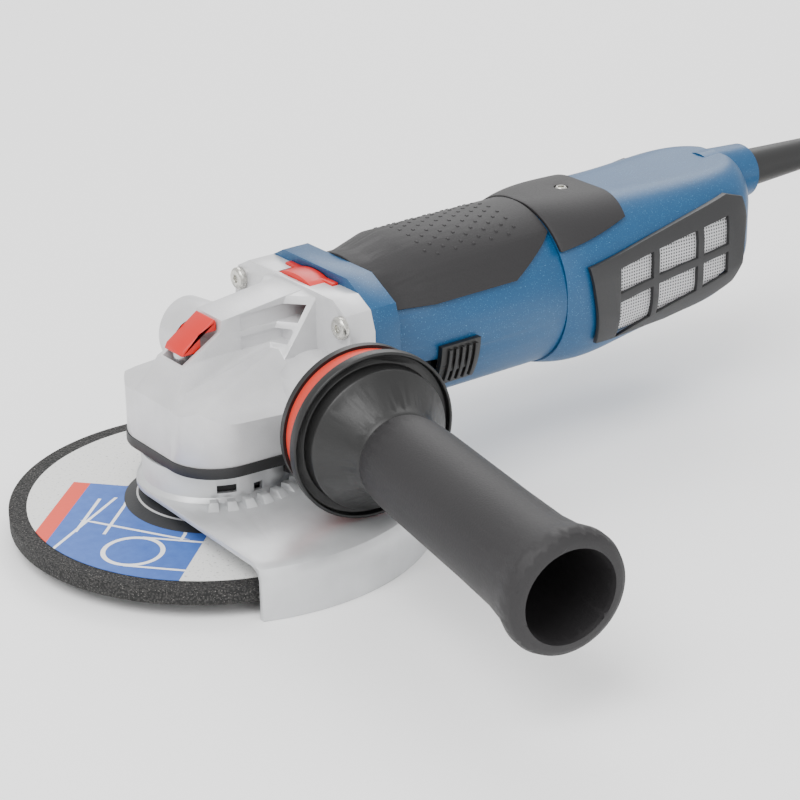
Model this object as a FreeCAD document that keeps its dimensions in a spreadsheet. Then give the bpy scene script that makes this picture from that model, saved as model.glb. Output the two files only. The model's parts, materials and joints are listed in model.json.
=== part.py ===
import FreeCAD, Part
import math
import os
from types import SimpleNamespace

import Sketcher
from FreeCAD import Placement, Rotation, Vector

os.makedirs("parts", exist_ok=True)

# Angle grinder for 150 mm discs, in millimetres.
# +X runs from the gear head back to the cord, the side handle stands out towards -Y, +Z is up.
# The origin is on the spindle axis, in the middle of the spindle's free end.

doc = FreeCAD.newDocument("angle_grinder")
sheet = doc.addObject("Spreadsheet::Sheet", "Sizes")

DIMENSIONS = {
    # spindle, disc and what clamps it
    "tip_z": (-2.0, "lower end of the spindle"),
    "tip_radius": (6.2, "spindle's free end, past the nut"),
    "nose_radius": (6.95, "M14 nose of the spindle"),
    "thread_gap": (0.05, "play between the nose and what screws on it"),
    "disc_radius": (75.0, "grinding disc"),
    "disc_thickness": (5.6, "grinding disc"),
    "disc_rim_z": (1.9, "underside of the disc's rim"),
    "disc_raise": (4.0, "how far the disc's centre stands above its rim"),
    "disc_centre_radius": (25.0, "raised flat centre of the disc"),
    "disc_slope": (9.0, "width of the slope round the raised centre"),
    "disc_bore_radius": (11.15, "bore of the disc"),
    "clamp_radius": (20.5, "clamping nut and backing flange"),
    "nut_thickness": (3.9, "flange of the clamping nut"),
    "backing_thickness": (5.0, "backing flange"),
    "pilot_gap": (0.1, "play of the pilots in the disc's bore"),
    "journal_radius": (7.5, "spindle in its main bearing"),
    "shoulder_radius": (9.5, "spindle's shoulder above the backing flange"),
    "gear_seat_radius": (6.0, "spindle in the crown gear"),
    "top_journal_radius": (4.0, "spindle in its top bush"),
    "bearing_z": (23.5, "underside of the main bearing"),
    "bearing_width": (11.0, "main bearing"),
    "bearing_radius": (17.5, "main bearing outside"),
    "bush_z": (58.5, "underside of the top bush"),
    "bush_length": (7.5, "top bush"),
    "bush_radius": (6.0, "top bush outside"),
    # bevel gears
    "motor_z": (57.0, "height of the motor's axis"),
    "gear_module": (1.1, "bevel gears"),
    "crown_teeth": (38.0, "crown gear"),
    "pinion_teeth": (12.0, "pinion"),
    "face_width": (6.0, "length of the teeth"),
    "addendum": (0.7, "height of the teeth above the pitch cone, in modules"),
    "dedendum": (1.05, "depth of the teeth below the pitch cone, in modules"),
    "tooth_share": (0.36, "thickness of a tooth as a share of its pitch"),
    "lock_circle": (11.0, "radius of the ring of lock holes"),
    "lock_pin_radius": (2.4, "spindle lock pin"),
    # gear head
    "head_front": (25.6, "front of the head ahead of the spindle"),
    "head_half_width": (34.5, "head at its rear, axis to side"),
    "head_narrowing": (4.5, "how much narrower each side is at the front"),
    "head_corner": (19.0, "corner radius of the head's base"),
    "head_base_z": (32.5, "underside of the head casting"),
    "head_nose_z": (50.8, "top of the head's front face"),
    "head_shelf_z": (62.5, "top of the sloping panel at its rear"),
    "head_side_z": (47.0, "where the side facets start"),
    "seam_x": (46.0, "joint face between head and motor housing"),
    "flange_half_width": (36.5, "motor flange, axis to side"),
    "flange_half_height": (28.5, "motor flange, axis to top"),
    "head_flange_length": (11.0, "flange part of the head"),
    "spine_half_width": (8.2, "raised spine that carries the lock button"),
    "tower_top": (82.0, "top of the tower behind the lock button"),
    "tower_half_width": (16.0, "tower behind the lock button, axis to side"),
    "gear_bay_radius": (21.9, "hollow for the crown gear"),
    "screw_y": (32.2, "housing screws, across"),
    "low_screw_z": (18.0, "lower housing screws below the motor's axis"),
    "screw_z": (16.5, "housing screws, above and below the motor's axis"),
    # base flange and guard
    "base_depth": (4.0, "dark base flange under the head"),
    "neck_radius": (24.6, "neck that carries the guard"),
    "neck_bottom": (19.5, "lower end of the neck"),
    "guard_gap": (0.06, "running fit of the guard's collar on the neck"),
    "guard_sheet": (1.8, "guard's sheet"),
    "guard_radius": (80.0, "guard outside"),
    "guard_top": (16.8, "upper face of the guard's plate"),
    "guard_bottom": (-3.5, "lower edge of the guard's skirt"),
    "guard_shoulder": (5.0, "rounded shoulder of the guard"),
    "guard_turn": (-22.0, "direction that the guard covers, degrees"),
    "guard_half_angle": (90.0, "half of the angle that the guard covers"),
    "collar_height": (11.2, "collar above the plate"),
    # motor
    "housing_radius": (31.8, "motor housing outside"),
    "housing_wall": (3.2, "motor housing wall"),
    "waist_radius": (28.0, "waist behind the flange"),
    "housing_flange_length": (11.0, "motor housing's flange"),
    "housing_end_x": (139.0, "joint between motor housing and rear housing"),
    "shaft_radius": (5.0, "armature shaft"),
    "front_bearing_radius": (15.0, "armature's front bearing"),
    "front_bearing_width": (9.0, "armature's front bearing"),
    "front_bearing_x": (27.0, "front of the armature's front bearing"),
    "rear_bearing_radius": (11.0, "armature's rear bearing"),
    "rear_bearing_width": (7.0, "armature's rear bearing"),
    "rear_bearing_x": (142.5, "front of the armature's rear bearing"),
    "fan_radius": (24.5, "fan"),
    "rotor_radius": (17.5, "armature core"),
    "air_gap": (0.8, "between armature and field"),
    "stator_radius": (28.2, "field core"),
    "stator_flat": (25.2, "flats on the field core's sides"),
    "core_start": (74.0, "front of the cores"),
    "core_length": (42.0, "cores"),
    "commutator_radius": (12.5, "commutator"),
    "grip_thickness": (1.4, "rubber on the housing"),
    # rear housing and cord exit
    "rear_half_width": (33.0, "rear housing, axis to side"),
    "cord_z": (77.2, "height of the cord's exit"),
    "neck_end_x": (259.0, "rear end of the cord neck"),
    "neck_end_radius": (11.0, "cord neck at its end"),
    "sleeve_length": (54.0, "free part of the bend sleeve"),
    "sleeve_radius": (7.9, "bend sleeve at the neck"),
    "sleeve_tip_radius": (5.6, "bend sleeve at its tip"),
    "cord_radius": (4.25, "power cord"),
    # side handle
    "handle_x": (30.4, "handle axis at the motor's plane"),
    "handle_z": (51.8, "handle axis at the motor's plane"),
    "handle_yaw": (7.8, "handle leans towards the front, degrees"),
    "handle_pitch": (2.5, "handle leans down, degrees"),
    "handle_seat": (54.5, "seat of the handle from the motor's plane, along the handle"),
    "boss_radius": (13.0, "threaded boss for the handle"),
    "stud_radius": (5.95, "handle stud"),
    "washer_radius": (28.6, "handle's rear washer"),
    "washer_thickness": (3.4, "handle's rear washer"),
    "damper_length": (8.0, "damper ring"),
    "damper_radius": (27.4, "damper ring"),
    "handle_flange_radius": (30.7, "handle's front flange"),
    "handle_length": (138.8, "handle from its seat to its end"),
    "grip_radius": (17.0, "handle grip"),
    "grip_end_radius": (21.2, "flared end of the grip"),
    "grip_opening_radius": (16.2, "opening in the grip's end"),
}


class Size:
    """A number together with the sheet expression that gives it."""

    def __init__(self, value, text=None):
        self.value = float(value)
        self.text = text

    def words(self):
        """The expression, or the bare number where no sheet cell is behind it."""
        return self.text if self.text else "(%.6f)" % self.value

    def mixed(self, other, sign, value):
        """A new size from this one and another, joined by a sign."""
        other = size(other)
        if not (self.text or other.text):
            return Size(value)
        return Size(value, "(%s %s %s)" % (self.words(), sign, other.words()))

    def __add__(self, other):
        return self.mixed(other, "+", self.value + size(other).value)

    def __sub__(self, other):
        return self.mixed(other, "-", self.value - size(other).value)

    def __mul__(self, other):
        return self.mixed(other, "*", self.value * size(other).value)

    def __truediv__(self, other):
        return self.mixed(other, "/", self.value / size(other).value)

    def __neg__(self):
        return size(0) - self

    def __radd__(self, other):
        return size(other) + self

    def __rsub__(self, other):
        return size(other) - self

    def __rmul__(self, other):
        return size(other) * self

    def __float__(self):
        return self.value


def size(number):
    return number if isinstance(number, Size) else Size(number)


def cosine(degrees):
    degrees = size(degrees)
    return Size(math.cos(math.radians(degrees.value)), "cos(%s * 1 deg)" % degrees.words())


def sine(degrees):
    degrees = size(degrees)
    return Size(math.sin(math.radians(degrees.value)), "sin(%s * 1 deg)" % degrees.words())


d = SimpleNamespace()
for row, (name, (number, note)) in enumerate(DIMENSIONS.items(), start=1):
    sheet.set("A%d" % row, name)
    sheet.set("B%d" % row, str(number))
    sheet.set("C%d" % row, note)
    sheet.setAlias("B%d" % row, name)
    setattr(d, name, Size(number, "Sizes." + name))
doc.recompute()

nodes = []


def bind(thing, path, amount):
    """Tie one property of an object to the sheet."""
    amount = size(amount)
    if amount.text:
        thing.setExpression(path, amount.text)


def put(thing, name, amount):
    """Set a length and tie it to the sheet."""
    setattr(thing, name, size(amount).value)
    bind(thing, name, amount)


def place(thing, x=0, y=0, z=0, rotation=None):
    """Stand an object at a point of the machine."""
    x, y, z = size(x), size(y), size(z)
    thing.Placement = Placement(Vector(x.value, y.value, z.value), rotation or Rotation())
    for axis, amount in zip("xyz", (x, y, z)):
        bind(thing, "Placement.Base." + axis, amount)
    return thing


def node(name, thing):
    """Make an object one of the machine's named pieces."""
    thing.Label = name
    nodes.append(thing)
    return thing


def box(x, y, z):
    """A block between pairs of limits."""
    block = doc.addObject("Part::Box", "block")
    for name, (low, high) in zip(("Length", "Width", "Height"), (x, y, z)):
        put(block, name, size(high) - low)
    return place(block, x[0], y[0], z[0])


TURN = {
    "Z": Rotation(),
    "X": Rotation(Vector(0, 1, 0), 90),
    "Y": Rotation(Vector(1, 0, 0), -90),
}


def rod(axis, radius, low, high, a=0, b=0):
    """A cylinder along an axis; a and b are its place on the other two axes, in order."""
    bar = doc.addObject("Part::Cylinder", "rod")
    put(bar, "Radius", radius)
    put(bar, "Height", size(high) - low)
    where = {"Z": (a, b, low), "X": (low, a, b), "Y": (a, low, b)}[axis]
    return place(bar, *where, rotation=TURN[axis])


def tube(axis, outer, inner, low, high, a=0, b=0):
    """A plain ring along an axis."""
    return cut(rod(axis, outer, low, high, a, b), [rod(axis, inner, size(low) - 1, size(high) + 1, a, b)])


def cut(base, tools):
    """The base less the tools."""
    result = doc.addObject("Part::Cut", "cut")
    result.Base = base
    result.Tool = tools[0] if len(tools) == 1 else fuse(tools)
    return result


def fuse(parts):
    """All parts as one."""
    result = doc.addObject("Part::MultiFuse", "fusion")
    result.Shapes = parts
    result.Refine = True
    return result


def common(parts):
    """What all parts share."""
    result = doc.addObject("Part::MultiCommon", "common")
    result.Shapes = parts
    return result


def group(parts):
    """Several separate solids kept as one piece of the parts list."""
    result = doc.addObject("Part::Compound", "group")
    result.Links = parts
    return result


def drawn(body, plane, outline, offset=0):
    """A closed outline, each corner held by two dimensions from the sheet."""
    sketch = body.newObject("Sketcher::SketchObject", "outline")
    origin = [item for item in body.Origin.OriginFeatures if item.Role == plane][0]
    sketch.AttachmentSupport = [(origin, "")]
    sketch.MapMode = "FlatFace"
    offset = size(offset)
    sketch.AttachmentOffset = Placement(Vector(0, 0, offset.value), Rotation())
    bind(sketch, "AttachmentOffset.Base.z", offset)
    corners = [(size(x), size(y)) for x, y in outline]
    spots = [Vector(x.value, y.value, 0) for x, y in corners]
    count = len(spots)
    for index in range(count):
        line = Part.LineSegment(spots[index], spots[(index + 1) % count])
        sketch.addGeometry(line, False)
    for index in range(count):
        sketch.addConstraint(Sketcher.Constraint("Coincident", index, 2, (index + 1) % count, 1))
    for index, (x, y) in enumerate(corners):
        for kind, amount, axis in (("DistanceX", x, -2), ("DistanceY", y, -1)):
            if abs(amount.value) < 1e-9 and not amount.text:
                sketch.addConstraint(Sketcher.Constraint("PointOnObject", index, 1, axis))
                continue
            number = sketch.addConstraint(Sketcher.Constraint(kind, -1, 1, index, 1, amount.value))
            bind(sketch, "Constraints[%d]" % number, amount)
    return sketch


def prism(plane, outline, low, high):
    """An outline in a plane made thick between two distances along the plane's axis."""
    body = doc.addObject("PartDesign::Body", "body")
    start = size(low) if plane != "XZ_Plane" else size(0) - high
    sketch = drawn(body, plane, outline, start)
    pad = body.newObject("PartDesign::Pad", "pad")
    pad.Profile = sketch
    put(pad, "Length", size(high) - low)
    return body


def turned(axis, outline, x=0, y=0, z=0, rotation=None):
    """A turned piece. The outline is (radius, height) about Z, or (length, radius) about X."""
    body = doc.addObject("PartDesign::Body", "body")
    sketch = drawn(body, "XZ_Plane", outline)
    spin = body.newObject("PartDesign::Revolution", "spin")
    spin.Profile = sketch
    spin.ReferenceAxis = (sketch, ["V_Axis" if axis == "Z" else "H_Axis"])
    spin.Angle = 360
    return place(body, x, y, z, rotation)


def feature(shape, x=0, y=0, z=0, rotation=None):
    """A shape that neither a sketch nor a primitive gives."""
    item = doc.addObject("Part::Feature", "shape")
    item.Shape = shape
    return place(item, x, y, z, rotation)


def rounded(body, radius, chosen):
    """Round the edges of a body's last feature that a test picks."""
    doc.recompute()
    base = body.Tip
    names = ["Edge%d" % (i + 1) for i, edge in enumerate(base.Shape.Edges) if chosen(edge)]
    fillet = body.newObject("PartDesign::Fillet", "round")
    fillet.Base = (base, names)
    put(fillet, "Radius", radius)
    return body


def upright(edge):
    """True for a straight edge along Z."""
    ends = [v.Point for v in edge.Vertexes]
    if len(ends) != 2:
        return False
    return abs(ends[0].x - ends[1].x) < 1e-6 and abs(ends[0].y - ends[1].y) < 1e-6


# Spindle, disc and clamping parts, all on the vertical axis.

disc_rim_top = d.disc_rim_z + d.disc_thickness
disc_hub_top = disc_rim_top + d.disc_raise
disc_hub_low = disc_hub_top - d.disc_thickness
nut_low = disc_hub_low - d.nut_thickness
shoulder_z = disc_hub_top + d.backing_thickness
bearing_top = d.bearing_z + d.bearing_width
end_play = 0.2

spindle_outline = [
    (0, d.tip_z),
    (d.tip_radius - 0.6, d.tip_z),
    (d.tip_radius, d.tip_z + 0.6),
    (d.tip_radius, nut_low),
    (d.nose_radius, nut_low),
    (d.nose_radius, shoulder_z),
    (d.shoulder_radius, shoulder_z),
    (d.shoulder_radius, d.bearing_z - end_play),
    (d.journal_radius, d.bearing_z - end_play),
    (d.journal_radius, bearing_top + end_play),
    (d.gear_seat_radius, bearing_top + end_play),
    (d.gear_seat_radius, d.bush_z - end_play),
    (d.top_journal_radius, d.bush_z - end_play),
    (d.top_journal_radius, d.bush_z + d.bush_length - end_play),
    (0, d.bush_z + d.bush_length - end_play),
]
node("spindle", turned("Z", spindle_outline))

slope_radius = d.disc_centre_radius + d.disc_slope
disc_outline = [
    (d.disc_bore_radius, disc_hub_low),
    (d.disc_centre_radius, disc_hub_low),
    (slope_radius, d.disc_rim_z),
    (d.disc_radius, d.disc_rim_z),
    (d.disc_radius, disc_rim_top),
    (slope_radius, disc_rim_top),
    (d.disc_centre_radius, disc_hub_top),
    (d.disc_bore_radius, disc_hub_top),
]
node("grinding_disc", turned("Z", disc_outline))

nose_bore = d.nose_radius + d.thread_gap
pilot_radius = d.disc_bore_radius - d.pilot_gap
pilot_height = (d.disc_thickness - 0.8) / 2
backing_outline = [
    (nose_bore, disc_hub_top - pilot_height),
    (pilot_radius, disc_hub_top - pilot_height),
    (pilot_radius, disc_hub_top),
    (d.clamp_radius, disc_hub_top),
    (d.clamp_radius, shoulder_z - 1.5),
    (d.clamp_radius - 4, shoulder_z),
    (nose_bore, shoulder_z),
]
node("backing_flange", turned("Z", backing_outline))

nut_outline = [
    (nose_bore, nut_low),
    (d.clamp_radius - 1, nut_low),
    (d.clamp_radius, nut_low + 1),
    (d.clamp_radius, disc_hub_low),
    (pilot_radius, disc_hub_low),
    (pilot_radius, disc_hub_low + pilot_height),
    (nose_bore, disc_hub_low + pilot_height),
]
spanner_circle = 15.0
spanner_holes = []
for quarter in range(4):
    angle = math.radians(90 * quarter + 45)
    a, b = spanner_circle * math.cos(angle), spanner_circle * math.sin(angle)
    spanner_holes.append(rod("Z", 2.4, nut_low - 1, disc_hub_low - 0.9, a, b))
node("clamping_nut", cut(turned("Z", nut_outline), spanner_holes))

bearing_play = 0.05
node("spindle_bearing", tube("Z", d.bearing_radius, d.journal_radius + bearing_play,
                             d.bearing_z, bearing_top))
node("top_bush", tube("Z", d.bush_radius, d.top_journal_radius + bearing_play,
                      d.bush_z, d.bush_z + d.bush_length))


# Bevel gears. Both pitch cones meet where the spindle's axis crosses the motor's.

def bevel_gear(teeth, mate, bore, back, web, phase):
    """A bevel gear with its apex at the origin and its axis along +Z; web is its hollow face, if any."""
    module, face = d.gear_module.value, d.face_width.value
    high, deep = d.addendum.value * module, d.dedendum.value * module
    cone = math.atan2(teeth, mate)
    pitch_radius = module * teeth / 2
    inner = 1 - face * math.sin(cone) / pitch_radius
    depth = pitch_radius / math.tan(cone)
    root_radius = pitch_radius - deep * math.cos(cone)
    root_depth = depth + deep * math.sin(cone)
    outline = [(root_radius * inner, root_depth * inner), (root_radius, root_depth),
               (root_radius, back), (bore, back)]
    face_end = root_depth * inner if web is None else web
    outline.append((bore, face_end))
    if web is not None:
        outline.append((root_radius * inner - 1.5, face_end))
    loop = Part.makePolygon([Vector(r, 0, a) for r, a in outline + outline[:1]])
    blank = Part.Face(loop).revolve(Vector(0, 0, 0), Vector(0, 0, 1), 360)
    half = d.tooth_share.value * math.pi * module / 2
    slant = math.tan(math.radians(20))
    rows = []
    for height in (-deep - 0.3, high):
        radius = pitch_radius + height * math.cos(cone)
        along = depth - height * math.sin(cone)
        side = half - height * slant
        rows.append((radius, side, along))
    (r0, s0, a0), (r1, s1, a1) = rows
    corners = [Vector(r0, -s0, a0), Vector(r1, -s1, a1), Vector(r1, s1, a1), Vector(r0, s0, a0)]
    outer = Part.makePolygon(corners + corners[:1])
    small = [corner * inner for corner in corners]
    tooth = Part.makeLoft([outer, Part.makePolygon(small + small[:1])], True, True)
    copies = []
    for index in range(int(teeth)):
        copy = tooth.copy()
        copy.rotate(Vector(0, 0, 0), Vector(0, 0, 1), (index + phase) * 360.0 / teeth)
        copies.append(copy)
    return blank.fuse(copies).removeSplitter()


crown_back = 12.5
hub_height = d.motor_z - bearing_top - end_play
crown = bevel_gear(d.crown_teeth.value, d.pinion_teeth.value, d.gear_seat_radius.value + 0.02,
                   crown_back, 7.5, 0.5)
hub = Part.makeCylinder(10, hub_height.value - crown_back, Vector(0, 0, crown_back))
crown = crown.fuse(hub).cut(Part.makeCylinder(d.gear_seat_radius.value + 0.02, 60))
lock_hole_count = 4
for index in range(lock_hole_count):
    angle = math.radians(index * 360 / lock_hole_count + 180)
    spot = Vector(d.lock_circle.value * math.cos(angle), d.lock_circle.value * math.sin(angle), 0)
    crown = crown.cut(Part.makeCylinder(d.lock_pin_radius.value + 0.5, crown_back + 4, spot))
node("crown_gear", feature(crown, 0, 0, d.motor_z, Rotation(Vector(1, 0, 0), 180)))

pinion_bore = 2.6
pinion = bevel_gear(d.pinion_teeth.value, d.crown_teeth.value, pinion_bore + 0.02,
                    d.front_bearing_x.value - 0.3, None, 0)
node("pinion", feature(pinion, 0, 0, d.motor_z, TURN["X"]))


# Armature, all on the motor's axis.

def on_motor_axis(outline):
    """A turned piece on the motor's axis, drawn as (length, radius)."""
    return turned("X", outline, z=d.motor_z)


front_bearing_end = d.front_bearing_x + d.front_bearing_width
rear_bearing_end = d.rear_bearing_x + d.rear_bearing_width
shaft_step = d.front_bearing_x - 0.2
rear_journal = 4.0
shaft_outline = [
    (15.0, 0),
    (15.0, pinion_bore),
    (shaft_step, pinion_bore),
    (shaft_step, d.shaft_radius),
    (d.rear_bearing_x - end_play, d.shaft_radius),
    (d.rear_bearing_x - end_play, rear_journal),
    (rear_bearing_end + 0.6, rear_journal),
    (rear_bearing_end + 0.6, 0),
]
node("armature_shaft", on_motor_axis(shaft_outline))
node("front_bearing", tube("X", d.front_bearing_radius, d.shaft_radius + bearing_play,
                           d.front_bearing_x, front_bearing_end, 0, d.motor_z))
node("rear_bearing", tube("X", d.rear_bearing_radius, rear_journal + bearing_play,
                          d.rear_bearing_x, rear_bearing_end, 0, d.motor_z))

shaft_bore = d.shaft_radius + 0.02
fan_front = d.seam_x + 2.5
fan_depth = 9.0
fan_outline = [
    (fan_front, shaft_bore),
    (fan_front, 8.5),
    (fan_front + fan_depth - 1.6, 9.5),
    (fan_front + fan_depth - 1.6, d.fan_radius),
    (fan_front + fan_depth, d.fan_radius),
    (fan_front + fan_depth, shaft_bore),
]
fan_parts = [on_motor_axis(fan_outline)]
blade_count = 12
blade_thickness = 1.4
for index in range(blade_count):
    blade = doc.addObject("Part::Box", "blade")
    put(blade, "Length", fan_depth - 1.4)
    put(blade, "Width", blade_thickness)
    put(blade, "Height", d.fan_radius - 9.5)
    turn = Rotation(Vector(1, 0, 0), index * 360 / blade_count)
    foot = turn.multVec(Vector(0, -blade_thickness / 2, 9.0))
    place(blade, fan_front, foot.y, d.motor_z + foot.z, turn)
    fan_parts.append(blade)
node("fan", fuse(fan_parts))

core_end = d.core_start + d.core_length
node("rotor_core", tube("X", d.rotor_radius, shaft_bore, d.core_start, core_end, 0, d.motor_z))
coil_reach = 6.0
rotor_coils = []
for low, high in ((d.core_start - coil_reach, d.core_start), (core_end, core_end + coil_reach)):
    rotor_coils.append(tube("X", d.rotor_radius - 1.5, shaft_bore + 1.5, low, high, 0, d.motor_z))
node("rotor_windings", group(rotor_coils))
commutator_x = 124.0
commutator_length = 9.5
node("commutator", tube("X", d.commutator_radius, shaft_bore, commutator_x,
                        commutator_x + commutator_length, 0, d.motor_z))


# Field, brushes and the rear bearing's carrier.

field_bore = d.rotor_radius + d.air_gap
field_core = common([
    tube("X", d.stator_radius, field_bore, d.core_start, core_end, 0, d.motor_z),
    box((d.core_start, core_end), (0 - d.stator_flat, d.stator_flat), (d.motor_z - 40, d.motor_z + 40)),
])
node("field_core", field_core)
field_coils = []
for low, high in ((d.core_start - 5.5, d.core_start - 0.1), (core_end + 0.1, core_end + 5.5)):
    field_coils.append(tube("X", 24.5, field_bore + 0.4, low, high, 0, d.motor_z))
node("field_windings", group(field_coils))

holder_x = (commutator_x + 0.7, commutator_x + 8.7)
brush_x = (commutator_x + 1.9, commutator_x + 7.5)
bore_radius = d.housing_radius - d.housing_wall
holder_low = d.commutator_radius + 0.7
brush_low = d.commutator_radius + 0.3
brush_top = d.commutator_radius + 9.0


def brush_span(side, low, high):
    """Heights above or below the motor's axis, in order."""
    ends = sorted((side * size(low).value, side * size(high).value))
    return (d.motor_z + ends[0], d.motor_z + ends[1])


holders = []
brushes = []
brush_springs = []
for side in (1, -1):
    outside = box(holder_x, (-5, 5), brush_span(side, holder_low, bore_radius - 0.9))
    inside = box((brush_x[0] - 0.1, brush_x[1] + 0.1), (-3.1, 3.1), brush_span(side, 0, bore_radius - 2.4))
    holders.append(cut(outside, [inside]))
    brushes.append(box(brush_x, (-3, 3), brush_span(side, brush_low, brush_top)))
    low, high = brush_span(side, brush_top + 0.2, bore_radius - 2.6)
    middle = (brush_x[0] + brush_x[1]) / 2
    brush_springs.append(tube("Z", 2.3, 1.5, low, high, middle, 0))
node("brush_holders", group(holders))
node("carbon_brushes", group(brushes))
node("brush_springs", group(brush_springs))

carrier_x = d.housing_end_x - 3.4
carrier_outline = [
    (carrier_x, 7.0),
    (carrier_x, bore_radius - 0.3),
    (d.housing_end_x - 0.1, bore_radius - 0.3),
    (d.housing_end_x - 0.1, d.rear_bearing_radius + 2.2),
    (rear_bearing_end + 0.4, d.rear_bearing_radius + 2.2),
    (rear_bearing_end + 0.4, d.rear_bearing_radius + bearing_play),
    (d.rear_bearing_x - 0.1, d.rear_bearing_radius + bearing_play),
    (d.rear_bearing_x - 0.1, 7.0),
]
rod_y = (-27.9, -26.3)
rod_z = (d.motor_z - 11.5, d.motor_z - 8.5)
rod_path = box((carrier_x - 1, d.housing_end_x + 1), (-40, -25.8), (rod_z[0] - 0.5, rod_z[1] + 0.5))
node("bearing_carrier", cut(on_motor_axis(carrier_outline), [rod_path]))


# Handle axis: a tilted line through the head, one thread each side.

def handle_direction(side):
    """Unit vector along the handle, out of the head; side is -1 for -Y and 1 for +Y."""
    yaw, pitch = math.radians(d.handle_yaw.value), math.radians(d.handle_pitch.value)
    return Vector(-math.sin(yaw) * math.cos(pitch), side * math.cos(yaw) * math.cos(pitch), -math.sin(pitch))


def on_handle(thing, side=-1):
    """Put a piece drawn along +Z onto the handle's axis."""
    turn = Rotation(Vector(0, 0, 1), handle_direction(side))
    return place(thing, d.handle_x, 0, d.handle_z, turn)


def handle_turned(outline, side=-1):
    """A turned piece on the handle's axis, drawn as (radius, distance from the motor's plane)."""
    return on_handle(turned("Z", outline), side)


def handle_rod(radius, low, high, side):
    """A round bar on the handle's axis."""
    return handle_turned([(0, low), (radius, low), (radius, high), (0, high)], side)


# Gear head casting.

flange_front = d.seam_x - d.head_flange_length
flange_top = d.motor_z + d.flange_half_height
flange_low = d.motor_z - d.flange_half_height


def head_plan(clearance, back, low, high):
    """The head's plan, narrower at the front, with round front corners; clearance makes it wider."""
    front = 0 - d.head_front - clearance
    rear_half = d.head_half_width + clearance
    front_half = rear_half - d.head_narrowing
    outline = [(front, 0 - front_half), (back, 0 - rear_half), (back, rear_half), (front, front_half)]
    plan = prism("XY_Plane", outline, low, high)
    limit = d.head_front.value / 2
    return rounded(plan, d.head_corner, lambda e: upright(e) and e.Vertexes[0].Point.x < -limit)


def flange_outline():
    """The eight-sided outline shared by head and motor housing, as (across, height)."""
    half = [
        (20.0, flange_top),
        (d.flange_half_width - 2.5, flange_top - 7.5),
        (d.flange_half_width, flange_top - 15),
        (d.flange_half_width, flange_low + 12),
        (d.flange_half_width - 8, flange_low),
    ]
    return half + [(0 - y, z) for y, z in reversed(half)]


shelf_x = 18.0
draft = 0.8
nose_bevel_x = -18.0
head_profile = [
    (0 - d.head_front, d.head_base_z),
    (draft - d.head_front, d.head_nose_z),
    (nose_bevel_x, d.head_nose_z + 4.4),
    (shelf_x, d.head_shelf_z),
    (d.seam_x, d.head_shelf_z + 1),
    (d.seam_x, d.head_base_z),
]
facet_slope = 0.705
facet_top = d.head_side_z + (d.head_half_width - 8) * facet_slope
head_section = [
    (0 - d.head_half_width, d.head_base_z),
    (2 * draft - d.head_half_width, d.head_side_z),
    (-8, facet_top),
    (8, facet_top),
    (d.head_half_width - 2 * draft, d.head_side_z),
    (d.head_half_width, d.head_base_z),
]

# The spine: a ridge up the middle, wider at its foot, cut down in front of the tower for the button.
button_front = -15.6
button_rear = 0.0
spine_profile = [
    (0 - d.head_front, d.head_base_z),
    (draft - d.head_front, d.head_nose_z + 0.5),
    (-19.5, d.head_nose_z + 6.5),
    (button_front - 0.8, d.head_nose_z + 12.6),
    (button_rear - 0.6, d.tower_top - 9.2),
    (button_rear + 0.4, d.tower_top - 4.8),
    (25.4, d.tower_top - 2),
    (d.seam_x, d.tower_top),
    (d.seam_x, d.head_base_z),
]
spine_foot = 4.0
spine_section = [
    (0 - d.spine_half_width - spine_foot, d.head_base_z),
    (0 - d.spine_half_width - spine_foot, d.head_nose_z),
    (0 - d.spine_half_width, d.head_nose_z + 14),
    (0 - d.spine_half_width, flange_top),
    (d.spine_half_width, flange_top),
    (d.spine_half_width, d.head_nose_z + 14),
    (d.spine_half_width + spine_foot, d.head_nose_z),
    (d.spine_half_width + spine_foot, d.head_base_z),
]
spine = common([
    prism("XZ_Plane", spine_profile, -40, 40),
    prism("YZ_Plane", spine_section, -60, d.seam_x),
])

# The tower: its front leans back and is swept back on both sides, with two windows on each.
tower_foot = d.head_shelf_z - 4.5
tower_middle = 6.0


def tower_wire(across, foot_x, top_x):
    """The tower's outline standing at a distance off the middle."""
    corners = [(foot_x, tower_foot), (top_x, d.tower_top - 2), (d.seam_x, d.tower_top), (d.seam_x, tower_foot)]
    points = [Vector(size(x).value, across, size(z).value) for x, z in corners]
    return Part.makePolygon(points + points[:1])


tower_solids = []
for side in (-1, 1):
    inner = tower_wire(side * tower_middle, 16.3, 25.4)
    outer = tower_wire(side * d.tower_half_width.value, 19.6, 35.5)
    tower_solids.append(feature(Part.makeLoft([inner, outer], True, True)))
head_block = common([
    head_plan(0, d.seam_x, d.head_base_z, flange_top),
    prism("XZ_Plane", head_profile, -60, 60),
    prism("YZ_Plane", head_section, -60, d.seam_x),
])
head_flange = common([
    prism("YZ_Plane", flange_outline(), flange_front, d.seam_x),
    box((flange_front - 1, d.seam_x + 1), (-60, 60), (0, d.tower_top)),
])
head_solids = [head_block, spine, head_flange] + tower_solids
boss_root = 22.0
for side in (-1, 1):
    head_solids.append(handle_rod(d.boss_radius, boss_root, d.handle_seat, side))

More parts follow.
